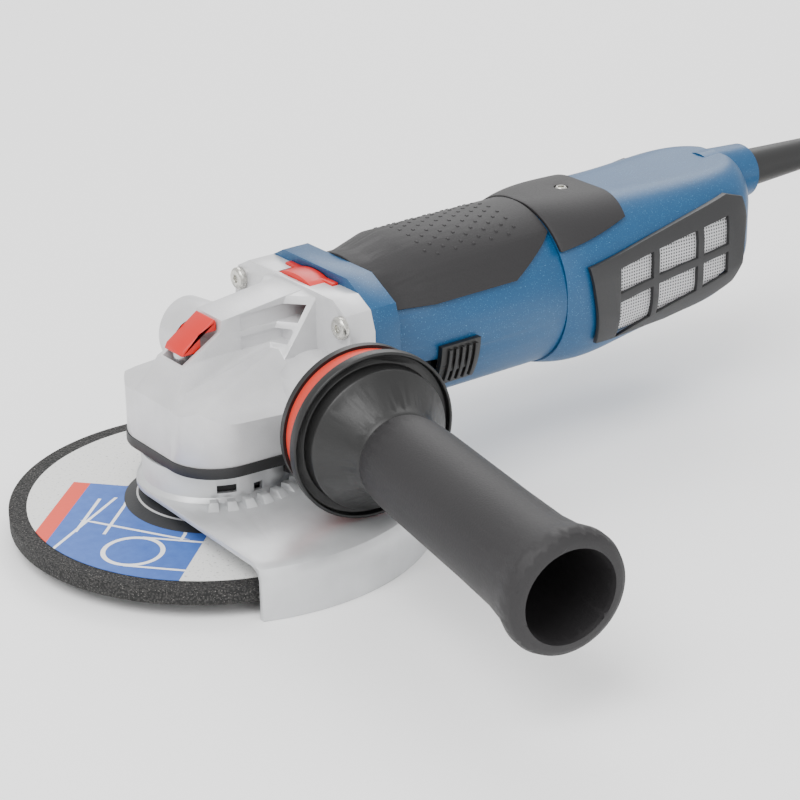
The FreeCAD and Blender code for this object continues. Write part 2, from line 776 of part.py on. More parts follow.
# The gear bay clears the crown gear's teeth, whose tips lie nearly on a cone.
tooth_reach = d.gear_module * (d.pinion_teeth / 2 - d.addendum)
bay_side = d.motor_z - tooth_reach
bay_top = bay_side + 2.0
bay_outline = [
    (0, d.head_base_z - 1),
    (d.gear_bay_radius, d.head_base_z - 1),
    (d.gear_bay_radius, bay_side),
    (d.gear_bay_radius - 4.4, bay_top),
    (0, bay_top),
]
slot_floor = bay_top + 2.4
slot_y = 6.4
slot_rear = -7.0
bush_cover = d.bush_z + d.bush_length + 1.6
bearing_top_z = d.motor_z + d.front_bearing_radius
head_hollows = [
    turned("Z", bay_outline),
    rod("Z", d.bush_radius + bearing_play, bay_top - 1, d.bush_z + d.bush_length),
    rod("X", 9.8, 2.0, d.front_bearing_x + 1, 0, d.motor_z),
    rod("X", d.front_bearing_radius + bearing_play, d.front_bearing_x - 0.1, flange_front + 2, 0, d.motor_z),
    rod("X", 27.0, front_bearing_end + 0.8, d.seam_x + 1, 0, d.motor_z),
    rod("Z", d.lock_pin_radius + bearing_play, bay_top - 1, slot_floor + 1, 0 - d.lock_circle, 0),
    box((button_front, slot_rear), (0 - slot_y, slot_y), (slot_floor, flange_top + 5)),
    box((slot_rear - 1, button_rear), (0 - slot_y, slot_y), (bush_cover, flange_top + 5)),
    box((d.seam_x - 3.0, d.seam_x + 1), (-15.2, 15.2), (d.motor_z + 20, flange_top + 5)),
]
window_y = (7.4, 14.4)
windows = (
    (d.front_bearing_x - 0.9, bearing_top_z - 7.6, bearing_top_z - 2.8),
    (front_bearing_end + 2, bearing_top_z - 0.6, bearing_top_z + 5.4),
)
for side in (-1, 1):
    edges = sorted(side * edge for edge in window_y)
    for depth, low, high in windows:
        head_hollows.append(box((8.0, depth), edges, (low, high)))
    head_hollows.append(handle_rod(d.stud_radius + d.thread_gap, 26.5, d.handle_seat + 1, side))
screw_radius = 2.0
screw_head_radius = 4.2
screw_spots = []
for side in (-1, 1):
    screw_spots.append((side * d.screw_y, d.motor_z + d.screw_z))
    screw_spots.append((side * (d.screw_y - 1.2), d.motor_z - d.low_screw_z))
    edges = sorted((side * 26.5, side * 45.0))
    pocket_top = d.motor_z - d.low_screw_z + screw_head_radius + 0.4
    head_hollows.append(box((flange_front - 5, flange_front), edges, (d.head_base_z - 1, pocket_top)))
for across, height in screw_spots:
    head_hollows.append(rod("X", screw_radius + 0.1, flange_front - 2, d.seam_x + 1, across, height))
base_screws = [(-12.4, 25.5), (-12.4, -25.5), (14.0, 27.4), (14.0, -27.4)]
for x, y in base_screws:
    head_hollows.append(rod("Z", screw_radius + 0.1, d.head_base_z - 1, d.head_base_z + 11, x, y))
node("gear_housing", cut(fuse(head_solids), head_hollows))


# Screws: a round head on a plain shank.

def screw_outline(head_radius, head_height, shank, length):
    """A pan-head screw drawn as (radius, height), its head's underside at 0 and its shank below."""
    return [
        (0, 0 - length),
        (shank, 0 - length),
        (shank, 0),
        (head_radius, 0),
        (head_radius, head_height - 0.8),
        (head_radius - 0.8, head_height),
        (1.4, head_height),
        (1.4, head_height - 1.2),
        (0, head_height - 1.2),
    ]


FACE_FRONT = Rotation(Vector(0, 1, 0), -90)
FACE_DOWN = Rotation(Vector(1, 0, 0), 180)
housing_screws = []
for across, height in screw_spots:
    screw = turned("Z", screw_outline(screw_head_radius, 2.6, screw_radius, 18.0))
    housing_screws.append(place(screw, flange_front, across, height, FACE_FRONT))
node("housing_screws", group(housing_screws))

# Base flange: the dark plate under the head, with the neck that carries the guard.

base_low = d.head_base_z - d.base_depth
base_plan = head_plan(0.3, flange_front - 0.5, base_low, d.head_base_z)
base_solids = [
    base_plan,
    rod("Z", d.neck_radius, d.neck_bottom, base_low + 1),
    rod("Z", d.gear_bay_radius - 0.1, d.head_base_z - 1, bearing_top + 1.6),
]
base_hollows = [
    rod("Z", d.bearing_radius + bearing_play, d.bearing_z, bearing_top + 3),
    rod("Z", 12.0, d.neck_bottom - 1, d.bearing_z + 1),
]
base_head_radius = 3.4
base_head_depth = 2.4
for x, y in base_screws:
    base_hollows.append(rod("Z", screw_radius + 0.1, base_low - 1, d.head_base_z + 1, x, y))
    base_hollows.append(rod("Z", base_head_radius + 0.2, base_low - 1, base_low + base_head_depth, x, y))
lever_pin_spot = (24.0, -29.0)
base_hollows.append(rod("Z", 1.5, base_low - 1, base_low + 4, *lever_pin_spot))
node("base_flange", cut(fuse(base_solids), base_hollows))

flange_screws = []
for x, y in base_screws:
    screw = turned("Z", screw_outline(base_head_radius, base_head_depth - 0.2, screw_radius, 11.0))
    flange_screws.append(place(screw, x, y, base_low + base_head_depth, FACE_DOWN))
node("base_screws", group(flange_screws))

# Spindle lock: a button in the spine, a pin over the crown gear and a spring between.

button_half = slot_y - 0.5
button_seat = 66.6
spring_radius = 3.6
button_outline = [
    (button_front + 0.3, button_seat),
    (button_front + 1.4, button_seat + 2.2),
    (-6.0, d.tower_top - 7.7),
    (-1.2, d.tower_top - 4.4),
    (button_rear - 0.4, d.tower_top - 5.6),
    (button_rear - 0.4, bush_cover + 5.4),
    (slot_rear - 0.2, bush_cover + 5.4),
    (slot_rear - 0.2, button_seat),
]
node("lock_button", prism("XZ_Plane", button_outline, 0 - button_half, button_half))
web_top = d.motor_z - 7.5
lock_pin_bottom = web_top + 0.8
node("lock_pin", rod("Z", d.lock_pin_radius, lock_pin_bottom, button_seat, 0 - d.lock_circle, 0))
node("lock_spring", tube("Z", spring_radius, d.lock_pin_radius + 0.5, slot_floor, button_seat - 0.02,
                         0 - d.lock_circle, 0))

# Guard: a pressed pan with a collar, cut along two lines that touch the collar's rim.

collar_bore = d.neck_radius + d.guard_gap
collar_outer = collar_bore + d.guard_sheet
plate_low = d.guard_top - d.guard_sheet
skirt_bore = d.guard_radius - d.guard_sheet
shoulder_in = d.guard_radius - d.guard_shoulder
guard_outline = [
    (collar_bore, plate_low),
    (collar_bore, d.guard_top + d.collar_height),
    (collar_outer, d.guard_top + d.collar_height),
    (collar_outer, d.guard_top + 1.6),
    (collar_outer + 1.6, d.guard_top),
    (shoulder_in, d.guard_top),
    (d.guard_radius - 1.5, d.guard_top - 1.5),
    (d.guard_radius, d.guard_top - d.guard_shoulder),
    (d.guard_radius, d.guard_bottom),
    (skirt_bore, d.guard_bottom),
    (skirt_bore, d.guard_top - d.guard_shoulder - 0.5),
    (skirt_bore - 1.2, plate_low - 1.2),
    (shoulder_in - 0.6, plate_low),
]
rim_radius = collar_outer + 2.2
cut_lean = 21.0
line_angle = d.guard_half_angle + cut_lean
reach = 110.0
touch = (rim_radius * cosine(line_angle + 90), rim_radius * sine(line_angle + 90))
far = (touch[0] - reach * cosine(line_angle), touch[1] - reach * sine(line_angle))
covered = [touch, far, (reach, far[1]), (reach, 0 - far[1]), (far[0], 0 - far[1]), (touch[0], 0 - touch[1])]
guard_pan = common([
    turned("Z", guard_outline),
    fuse([prism("XY_Plane", covered, -10, 40), rod("Z", rim_radius, -10, 40)]),
])
tooth_count = 8
first_tooth = -102.0
tooth_step = 11.5
guard_teeth = []
for index in range(tooth_count):
    tooth = doc.addObject("Part::Wedge", "guard_tooth")
    limits = {"Xmin": 0, "Xmax": 6.5, "Ymin": 0, "Ymax": 2.6, "Zmin": 0, "Zmax": 4.2,
              "X2min": 0, "X2max": 3.0, "Z2min": 0.6, "Z2max": 3.6}
    for name, number in limits.items():
        setattr(tooth, name, number)
    about = Rotation(Vector(0, 0, 1), first_tooth + index * tooth_step)
    turn = about.multiply(Rotation(Vector(1, 0, 0), 90))
    foot = about.multVec(Vector(collar_outer.value + 2.4, 2.1, 0))
    place(tooth, foot.x, foot.y, d.guard_top - 0.4, turn)
    guard_teeth.append(tooth)
guard_cuts = []
for angle, width, low, high in ((-92.0, 7.0, 3.2, 6.2), (-66.0, 3.6, 1.8, 5.0)):
    slot = doc.addObject("Part::Box", "collar_slot")
    put(slot, "Length", 6)
    put(slot, "Width", width)
    put(slot, "Height", high - low)
    about = Rotation(Vector(0, 0, 1), angle)
    foot = about.multVec(Vector(collar_bore.value - 2, -width / 2, 0))
    place(slot, foot.x, foot.y, d.guard_top + low, about)
    guard_cuts.append(slot)
guard = cut(fuse([guard_pan] + guard_teeth), guard_cuts)
place(guard, 0, 0, 0, Rotation(Vector(0, 0, 1), d.guard_turn.value))
node("guard", guard)

lever_z = (d.guard_top + 3.8, base_low - 1.8)
lever_outline = [
    (14.05, -22.8),
    (18.5, -22.4),
    (25.0, -24.5),
    (31.0, -27.0),
    (38.0, -32.0),
    (36.5, -35.5),
    (28.0, -33.5),
    (20.0, -32.5),
    (15.2, -27.5),
]
lever_hole = rod("Z", 1.5 + 0.05, lever_z[0] - 1, lever_z[1] + 1, *lever_pin_spot)
node("guard_lever", cut(prism("XY_Plane", lever_outline, *lever_z), [lever_hole]))
node("lever_pin", rod("Z", 1.5 - 0.02, lever_z[0] - 0.4, base_low + 3.9, *lever_pin_spot))
node("lever_spring", tube("Z", 3.0, 1.7, lever_z[1] + 0.1, base_low - 0.1, *lever_pin_spot))

# Baffle: the ring between head and motor housing, with a tab that shows on top.

baffle_front = front_bearing_end + 1.2
tab_front = d.seam_x - 2.8
baffle_x = (tab_front, d.seam_x - 0.2)
baffle_solids = [
    tube("X", 26.8, 20.0, baffle_front, baffle_x[1], 0, d.motor_z),
    box(baffle_x, (-14.8, 14.8), (d.motor_z + 20.3, d.tower_top + 0.7)),
]
node("baffle_ring", fuse(baffle_solids))

# Motor housing: a flange, a waist and the barrel, with a sliding switch on its left.

flange_back = d.seam_x + d.housing_flange_length
barrel_start = 78.0
waist_end = 64.0
barrel_outline = [
    (flange_back - 3, 0),
    (flange_back - 3, d.waist_radius),
    (waist_end, d.waist_radius),
    (barrel_start, d.housing_radius),
    (d.housing_end_x, d.housing_radius),
    (d.housing_end_x, 0),
]
hollow_outline = [
    (d.seam_x - 1, 0),
    (d.seam_x - 1, 26.8),
    (flange_back + 1, 26.8),
    (waist_end, 25.0),
    (d.core_start - 2, bore_radius),
    (d.housing_end_x + 1, bore_radius),
    (d.housing_end_x + 1, 0),
]
switch_travel = 8.0
foot_x = (80.0, 90.0)
housing_hollows = [
    on_motor_axis(hollow_outline),
    box((foot_x[0] - switch_travel - 1.5, foot_x[1] + 1.5), (-40, -20), (d.motor_z - 13, d.motor_z - 7)),
    box((foot_x[0] - switch_travel - 1.5, d.housing_end_x + 1), (rod_y[0] - 0.5, -20),
        (rod_z[0] - 0.5, rod_z[1] + 0.5)),
]
for across, height in screw_spots:
    housing_hollows.append(rod("X", screw_radius + 0.02, d.seam_x - 1, d.seam_x + 8, across, height))
housing_solids = [
    prism("YZ_Plane", flange_outline(), d.seam_x, flange_back),
    on_motor_axis(barrel_outline),
]
node("motor_housing", cut(fuse(housing_solids), housing_hollows))


def barrel_skin(start, end, inner, outer):
    """A shell round the motor housing, following its waist; inner and outer are distances off it."""
    outline = [
        (start, d.waist_radius + inner),
        (start, d.waist_radius + outer),
        (waist_end, d.waist_radius + outer),
        (barrel_start, d.housing_radius + outer),
        (end, d.housing_radius + outer),
        (end, d.housing_radius + inner),
        (barrel_start, d.housing_radius + inner),
        (waist_end, d.waist_radius + inner),
    ]
    return on_motor_axis(outline)


insert_side = [
    (flange_back, 70.9),
    (116.0, 71.1),
    (133.5, 80.0),
    (d.housing_end_x - 0.4, 83.0),
    (d.housing_end_x - 0.4, 95.0),
    (flange_back, 95.0),
]
insert_shell = barrel_skin(flange_back, d.housing_end_x, 0, d.grip_thickness)
node("grip_insert", common([insert_shell, prism("XZ_Plane", insert_side, -50, 50)]))

slider_length = 18.0
slider_start = 77.5
slider_x = (slider_start, slider_start + slider_length)
slider_z = (d.motor_z - 18.5, d.motor_z - 1.5)
slider_low = d.housing_radius + 0.25
slider_plate = common([
    tube("X", slider_low + 2.2, slider_low, *slider_x, 0, d.motor_z),
    box(slider_x, (-40, -10), slider_z),
])
rib_count = 5
rib_pitch = 3.0
slider_ribs = []
for index in range(rib_count):
    low = slider_start + 2.6 + index * rib_pitch
    slider_ribs.append(common([
        tube("X", slider_low + 3.4, slider_low + 1, low, low + 1.4, 0, d.motor_z),
        box((low - 1, low + 3), (-40, -10), (slider_z[0] + 1.5, slider_z[1] - 1.5)),
    ]))
slider_foot = box(foot_x, (-33.0, rod_y[0]), (rod_z[0] - 0.6, rod_z[1] + 0.6))
node("switch_slider", fuse([slider_plate, slider_foot] + slider_ribs))
rod_end = 150.0
node("switch_rod", box((foot_x[0] + 2, rod_end), rod_y, rod_z))


# Rear housing: a lofted shell whose sections are rounded rectangles across the motor's axis.

rear_front = d.housing_end_x + 0.2
REAR_SECTIONS = [
    (rear_front, d.housing_radius, 25.2, 88.8, 30.0),
    (170.0, d.rear_half_width, 26.5, 88.5, 24.0),
    (212.0, d.rear_half_width, 33.0, 87.6, 20.0),
    (232.0, d.rear_half_width - 3, 39.0, 88.2, 17.0),
    (243.0, d.rear_half_width - 13, 50.0, 88.6, 14.0),
]


def section_wire(x, half, low, high, corner):
    """A rounded rectangle standing across the X axis."""
    middle = []
    for index, (side, height) in enumerate(((1, high), (-1, high), (-1, low), (1, low))):
        centre = Vector(x, side * (half - corner), height - math.copysign(corner, height - (low + high) / 2))
        start = math.radians(90 * index)
        angles = (start, start + math.pi / 4, start + math.pi / 2)
        middle.append([centre + Vector(0, corner * math.cos(a), corner * math.sin(a)) for a in angles])
    edges = []
    for index, arc in enumerate(middle):
        edges.append(Part.Arc(*arc).toShape())
        edges.append(Part.makeLine(arc[2], middle[(index + 1) % len(middle)][0]))
    return Part.Wire(edges)


def rear_skin(grow):
    """The rear housing's solid, grown all round by a distance."""
    wires = []
    for x, half, low, high, corner in REAR_SECTIONS:
        x, half = size(x).value, size(half).value
        wires.append(section_wire(x, half + grow, low - grow, high + grow, corner + grow))
    return Part.makeLoft(wires, True, False)


def rear_shell(inner, outer):
    """A shell that follows the rear housing between two distances off it."""
    base = feature(rear_skin(outer))
    longer = rear_skin(inner)
    return cut(base, [feature(longer)])


def side_panel(outline, side, depth=50):
    """A straight-sided block on one side of the machine, drawn as (length, height)."""
    limits = (2.0, depth) if side > 0 else (-depth, -2.0)
    return prism("XZ_Plane", outline, *limits)


rear_wall = 3.0
chamber_end = 240.0
chamber = common([feature(rear_skin(-rear_wall)), box((rear_front - 2, chamber_end), (-50, 50), (0, 100))])
neck_outline = [
    (d.neck_end_x - 24, 0),
    (d.neck_end_x - 24, d.neck_end_radius + 0.8),
    (d.neck_end_x - 16, d.neck_end_radius + 1.0),
    (d.neck_end_x, d.neck_end_radius),
    (d.neck_end_x, 0),
]
neck = turned("X", neck_outline, z=d.cord_z)
rib_outline = [(-29, 26), (27, 26), (27, 38), (-10.5, 38), (-10.5, 45.5), (-26.5, 45.5), (-29, 45.5)]
floor_ribs = []
for x in (160.0, 178.0, 196.0):
    rib = prism("YZ_Plane", rib_outline, x, x + 2.5)
    floor_ribs.append(common([rib, feature(rear_skin(-rear_wall + 0.3))]))
vent_columns = ((162.5, 180.0), (183.0, 203.0), (206.0, 219.5))
vent_rows = (
    (lambda x: 57.0 + 0.125 * (x - 168), lambda x: 67.0 + 0.15 * (x - 165)),
    (lambda x: 41.0 + 0.24 * (x - 175), lambda x: 53.6 + 0.135 * (x - 168)),
)


def vent_outlines(inset):
    """The six windows of one side, each drawn as (length, height) and made smaller by an inset."""
    outlines = []
    for start, end in vent_columns:
        start, end = start + inset, end - inset
        for low, high in vent_rows:
            outlines.append([
                (start, low(start) + inset),
                (end, low(end) + inset),
                (end, high(end) - inset),
                (start, high(start) - inset),
            ])
    return outlines


sleeve_seat = d.sleeve_radius + 0.6
cover_screw_x = 162.4
cover_top = 90.0
rear_hollows = [
    rod("X", sleeve_seat + 0.05, chamber_end - 8, d.neck_end_x + 1, 0, d.cord_z),
    rod("Z", 1.55, cover_top - 8, cover_top, cover_screw_x, 0),
    box((rear_front - 1, rod_end + 2), (rod_y[0] - 0.5, -20), (rod_z[0] - 0.5, rod_z[1] + 0.5)),
]
for side in (-1, 1):
    for outline in vent_outlines(1.5):
        rear_hollows.append(side_panel(outline, side))
rear_shape = fuse([cut(feature(rear_skin(0)), [chamber]), neck] + floor_ribs)
node("rear_housing", cut(rear_shape, rear_hollows))

cover_side = [
    (rear_front, 76.3),
    (172.4, 83.0),
    (174.2, 88.0),
    (176.6, 96.0),
    (rear_front, 96.0),
]
cover_shell = common([rear_shell(0.1, 1.4), prism("XZ_Plane", cover_side, -50, 50)])
node("rear_top_cover", cut(cover_shell, [rod("Z", 2.7, cover_top - 6, cover_top + 6, cover_screw_x, 0)]))
cover_screw = turned("Z", screw_outline(2.6, 1.4, 1.5, 2.0))
node("cover_screw", place(cover_screw, cover_screw_x, 0, cover_top - 1.0))

filter_outline = [
    (148.0, 69.7),
    (187.4, 76.2),
    (221.7, 82.5),
    (230.0, 80.0),
    (231.0, 71.0),
    (229.5, 53.0),
    (224.0, 46.7),
    (207.7, 41.3),
    (190.0, 38.0),
    (153.0, 37.5),
    (151.0, 54.0),
]
mesh_outline = [
    (162.0, 40.5),
    (162.0, 71.0),
    (225.0, 79.5),
    (226.0, 55.0),
    (190.0, 40.5),
]
for side, name in ((-1, "left"), (1, "right")):
    windows = [side_panel(outline, side) for outline in vent_outlines(0)]
    frame = common([rear_shell(0.8, 2.4), side_panel(filter_outline, side)])
    node("filter_frame_" + name, cut(frame, windows))
    node("filter_mesh_" + name, common([rear_shell(0.1, 0.8), side_panel(mesh_outline, side)]))
node("switch_module", box((rod_end + 0.6, 184.0), (-26.0, -12.0), (45.5, 61.0)))
node("electronics_module", box((rear_bearing_end + 3.0, 205.0), (-10.0, 22.0), (38.0, 70.0)))

# Cord exit: a bend sleeve held in the neck.

sleeve_bore = d.cord_radius + 0.05
sleeve_end = d.neck_end_x + d.sleeve_length
sleeve_outline = [
    (chamber_end - 4, sleeve_bore),
    (chamber_end - 4, sleeve_seat),
    (d.neck_end_x + 0.6, sleeve_seat),
    (d.neck_end_x + 0.6, d.sleeve_radius),
    (sleeve_end - 1.5, d.sleeve_tip_radius),
    (sleeve_end, d.sleeve_tip_radius - 0.8),
    (sleeve_end, sleeve_bore),
]
node("cord_sleeve", turned("X", sleeve_outline, z=d.cord_z))

# Side handle, on its tilted axis: stud, washer, damper, core and grip.

washer_end = d.handle_seat + d.washer_thickness
damper_end = washer_end + d.damper_length
handle_end = d.handle_seat + d.handle_length
stud_end = damper_end + 9.0
node("handle_stud", handle_rod(d.stud_radius, d.handle_seat - 16.5, stud_end, -1))
stud_bore = d.stud_radius + 0.05
washer_outline = [
    (stud_bore, d.handle_seat),
    (d.washer_radius - 1, d.handle_seat),
    (d.washer_radius, d.handle_seat + 1),
    (d.washer_radius, washer_end),
    (stud_bore, washer_end),
]
node("handle_washer", handle_turned(washer_outline))
damper_outline = [
    (stud_bore, washer_end),
    (d.damper_radius, washer_end),
    (d.damper_radius, damper_end),
    (stud_bore, damper_end),
]
node("damper_ring", handle_turned(damper_outline))
rim_end = damper_end + 4.4
neck_start = damper_end + 8.0
grip_start = neck_start + 14.1
core_length = 69.0
tube_radius = 12.0
core_outline = [
    (stud_bore, damper_end),
    (d.handle_flange_radius - 0.8, damper_end),
    (d.handle_flange_radius, damper_end + 0.8),
    (d.handle_flange_radius, rim_end),
    (d.handle_flange_radius - 1.3, rim_end),
    (d.handle_flange_radius - 1.3, damper_end + 2.0),
    (d.damper_radius - 1.6, damper_end + 2.0),
    (d.damper_radius - 1.6, neck_start),
    (d.damper_radius - 3.0, neck_start + 1),
    (d.grip_radius - 0.4, neck_start + 11),
    (d.grip_radius - 1.5, grip_start),
    (tube_radius, grip_start),
    (tube_radius, damper_end + core_length),
    (0, damper_end + core_length),
    (0, stud_end + 0.2),
    (stud_bore, stud_end + 0.2),
]
node("handle_core", handle_turned(core_outline))
grip_bore = tube_radius + 0.05
hollow_start = damper_end + core_length + 3
grip_outline = [
    (grip_bore, grip_start),
    (d.grip_radius - 1.5, grip_start),
    (d.grip_radius - 0.4, grip_start + 6),
    (d.grip_radius, grip_start + 16),
    (d.grip_radius + 0.4, grip_start + 62),
    (d.grip_radius + 0.9, grip_start + 82),
    (d.grip_end_radius - 2.0, grip_start + 92),
    (d.grip_end_radius, handle_end - 6.3),
    (d.grip_end_radius, handle_end - 3.8),
    (d.grip_end_radius - 1.0, handle_end - 1.1),
    (d.grip_opening_radius + 2.1, handle_end),
    (d.grip_opening_radius, handle_end),
    (d.grip_opening_radius - 0.4, handle_end - 2.3),
    (d.grip_opening_radius - 1.2, handle_end - 33),
    (grip_bore + 1, hollow_start),
    (grip_bore, hollow_start),
]
node("handle_grip", handle_turned(grip_outline))

# Power cord: a free stretch, a coil put away on the table, a tail and the plug.

CORD_ROUTE = [
    (305.0, 0.0, 77.2),
    (338.0, 0.0, 77.2),
    (371.0, -3.0, 68.5),
    (398.0, -9.0, 49.0),
    (420.0, -19.0, 27.0),
    (445.0, -35.0, 8.5),
    (468.0, -58.0, 1.0),
    (481.0, -88.0, 0.9),
    (485.0, -118.0, 0.9),
]
TAIL_ROUTE = [
    (365.8, -111.5, 0.9),
    (364.2, -95.0, 0.9),
    (362.0, -78.5, 5.0),
    (362.0, -64.0, 5.0),
]
CORNER_SHARE = 0.45


def rounded_route(points):
    """Straight runs joined by arcs that are tangent to both."""
    spots = [Vector(*point) for point in points]
    edges = []
    start = spots[0]
    for before, corner, after in zip(spots, spots[1:], spots[2:]):
        arrive, leave = corner - before, after - corner
        half_turn = arrive.getAngle(leave) / 2
        shorter = min(arrive.Length, leave.Length)
        radius = CORNER_SHARE * shorter / math.tan(half_turn)
        print("cord arc radius %.0f mm" % radius)
        back, ahead = Vector(arrive).normalize(), Vector(leave).normalize()
        first = corner - back * CORNER_SHARE * shorter
        last = corner + ahead * CORNER_SHARE * shorter
        inward = (ahead - back).normalize()
        middle = corner + inward * (radius / math.cos(half_turn) - radius)
        edges.append(Part.LineSegment(start, first).toShape())
        edges.append(Part.Arc(first, middle, last).toShape())
        start = last
    edges.append(Part.LineSegment(start, spots[-1]).toShape())
    return Part.Wire(edges)


def cord_tube(points):
    """A round cord along a rounded route."""
    route = rounded_route(points)
    heading = Vector(*points[1]) - Vector(*points[0])
    ring = Part.Wire([Part.makeCircle(d.cord_radius.value, Vector(*points[0]), heading)])
    solid = route.makePipeShell([ring], True, False)
    section = math.pi * d.cord_radius.value ** 2
    print("cord stretch %.1f mm, volume ratio %.4f" % (route.Length, solid.Volume / section / route.Length))
    return feature(solid)


node("power_cord", cord_tube(CORD_ROUTE))
coil_x, coil_y = 425.0, -135.0
coil_middle = 47.5
turns_wide, turns_high = 4, 3
floor_z = d.guard_bottom
coil_half = d.cord_radius * turns_wide
coil_top = floor_z + d.cord_radius * (2 * turns_high)
node("cord_coil", tube("Z", coil_middle + coil_half, coil_middle - coil_half, floor_z, coil_top, coil_x, coil_y))
node("cord_tail", cord_tube(TAIL_ROUTE))

plug_x, plug_y, plug_z = TAIL_ROUTE[-1]
plug_face = plug_y + 54.0
plug_body_start = plug_face - 30.0
plug_radius = 18.0
plug_thickness = 17.0
strain_outline = [
    (0, 0),
    (5.5, 0),
    (8.0, plug_body_start - plug_y),
    (8.0, plug_body_start - plug_y + 4),
    (0, plug_body_start - plug_y + 4),
]
strain_relief = turned("Z", strain_outline, plug_x, plug_y, plug_z, Rotation(Vector(1, 0, 0), -90))
plug_disc = common([
    rod("Y", plug_radius, plug_body_start, plug_face, plug_x, plug_z),
    box((plug_x - plug_radius - 1, plug_x + plug_radius + 1), (plug_body_start, plug_face),
        (plug_z - plug_thickness / 2, plug_z + plug_thickness / 2)),
])
node("plug_body", fuse([plug_disc, strain_relief]))
pin_radius = 2.4
pin_length = 19.0
pin_spacing = 19.0
plug_pins = []
for side in (-1, 1):
    plug_pins.append(rod("Y", pin_radius, plug_face, plug_face + pin_length, plug_x + side * pin_spacing / 2, plug_z))
node("plug_pins", group(plug_pins))


# Check every object, then write one file for each piece.

doc.recompute()
for item in doc.Objects:
    if "Invalid" in item.State or "Error" in item.State:
        raise RuntimeError("%s (%s) failed: %s" % (item.Name, item.Label, item.State))
for item in nodes:
    if item.Shape.isNull() or not item.Shape.isValid() or not item.Shape.Solids:
        raise RuntimeError("%s has no valid shape" % item.Label)
for item in nodes:
    item.Shape.exportStep("parts/%s.step" % item.Label)
print("%d pieces written" % len(nodes))
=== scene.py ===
"""Angle grinder: camera, light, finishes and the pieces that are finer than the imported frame."""

import json
import logging
import math
from dataclasses import dataclass
from enum import Enum
from typing import Sequence

import bpy
from mathutils import Matrix, Vector


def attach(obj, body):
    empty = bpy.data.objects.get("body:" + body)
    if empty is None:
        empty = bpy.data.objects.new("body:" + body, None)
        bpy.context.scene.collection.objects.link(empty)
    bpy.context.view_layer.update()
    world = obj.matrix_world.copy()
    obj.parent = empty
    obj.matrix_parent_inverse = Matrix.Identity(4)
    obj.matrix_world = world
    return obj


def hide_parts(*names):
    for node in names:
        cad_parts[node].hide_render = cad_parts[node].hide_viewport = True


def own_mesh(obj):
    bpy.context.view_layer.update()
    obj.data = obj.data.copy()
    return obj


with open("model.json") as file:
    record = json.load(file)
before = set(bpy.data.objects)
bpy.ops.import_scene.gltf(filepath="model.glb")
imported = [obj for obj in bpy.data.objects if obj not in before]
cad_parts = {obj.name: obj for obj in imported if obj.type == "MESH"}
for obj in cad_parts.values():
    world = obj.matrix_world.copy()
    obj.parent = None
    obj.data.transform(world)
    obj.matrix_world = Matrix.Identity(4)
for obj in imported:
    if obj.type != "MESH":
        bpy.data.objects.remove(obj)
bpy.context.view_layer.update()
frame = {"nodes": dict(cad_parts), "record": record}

log = logging.getLogger("grinder")
MM = 0.001
SHARP_ANGLE = 30.0
SAME_SPOT = 0.000005
FINE_SHARE = 0.55
Triple = tuple[float, float, float]
Colour = tuple[float, float, float]
Outline = Sequence[tuple[float, float]]


class Term:
    """A node's output that can be used in a Python expression."""

    def __init__(self, graph: "Graph", socket: bpy.types.NodeSocket) -> None:
        """Hold one output of one graph.

        Args:
            graph: The graph that the node is in.
            socket: The socket.
        """
        self.graph = graph
        self.socket = socket

    def maths(self, operation: str, *values: "Term | float") -> "Term":
        """Add one Math node over values, in order.

        Args:
            operation: The node's operation.
            values: Terms or numbers, in order.

        Returns:
            The result.
        """
        return self.graph.add("ShaderNodeMath", {"operation": operation}, list(values))

    def __add__(self, other: "Term | float") -> "Term":
        """Sum.

        Args:
            other: The second term or number.

        Returns:
            The sum.
        """
        return self.maths("ADD", self, other)

    __radd__ = __add__

    def __sub__(self, other: "Term | float") -> "Term":
        """Difference.

        Args:
            other: The second term or number.

        Returns:
            The difference.
        """
        return self.maths("SUBTRACT", self, other)

    def __rsub__(self, other: float) -> "Term":
        """Difference from a number.

        Args:
            other: The second term or number.

        Returns:
            The difference.
        """
        return self.maths("SUBTRACT", other, self)

    def __mul__(self, other: "Term | float") -> "Term":
        """Product.

        Args:
            other: The second term or number.

        Returns:
            The product.
        """
        return self.maths("MULTIPLY", self, other)

    __rmul__ = __mul__

    def __truediv__(self, other: "Term | float") -> "Term":
        """Quotient.

        Args:
            other: The second term or number.

        Returns:
            The quotient.
        """
        return self.maths("DIVIDE", self, other)

    def __pow__(self, other: float) -> "Term":
        """Power.

        Args:
            other: The second term or number.

        Returns:
            The power.
        """
        return self.maths("POWER", self, other)

    def __gt__(self, other: "Term | float") -> "Term":
        """One where this is larger, otherwise nought.

        Args:
            other: The second term or number.

        Returns:
            One or nought.
        """
        return self.maths("GREATER_THAN", self, other)

    def __lt__(self, other: "Term | float") -> "Term":
        """One where this is smaller, otherwise nought.

        Args:
            other: The second term or number.

        Returns:
            One or nought.
        """
        return self.maths("LESS_THAN", self, other)

    def __abs__(self) -> "Term":
        """Size without sign.

        Returns:
            The size.
        """
        return self.maths("ABSOLUTE", self)

    def repeat(self, step: float) -> "Term":
        """Distance from the middle of the step that this falls in, from 0 to half a step.

        Args:
            step: Length of one step.

        Returns:
            The distance.
        """
        return abs(self.maths("FLOORED_MODULO", self, step) - step / 2)

    def ramp(self, low: float, high: float) -> "Term":
        """Nought at low and one at high, straight between and flat outside.

        Args:
            low: The lower value.
            high: The higher value.

        Returns:
            A value from 0 to 1.
        """
        return self.graph.add("ShaderNodeMapRange", {"clamp": True}, {"Value": self, "From Min": low,
                                                                     "From Max": high})

    def band(self, low: float, high: float) -> "Term":
        """One between two values.

        Args:
            low: The lower value.
            high: The higher value.

        Returns:
            One or nought.
        """
        return (self > low) * (self < high)


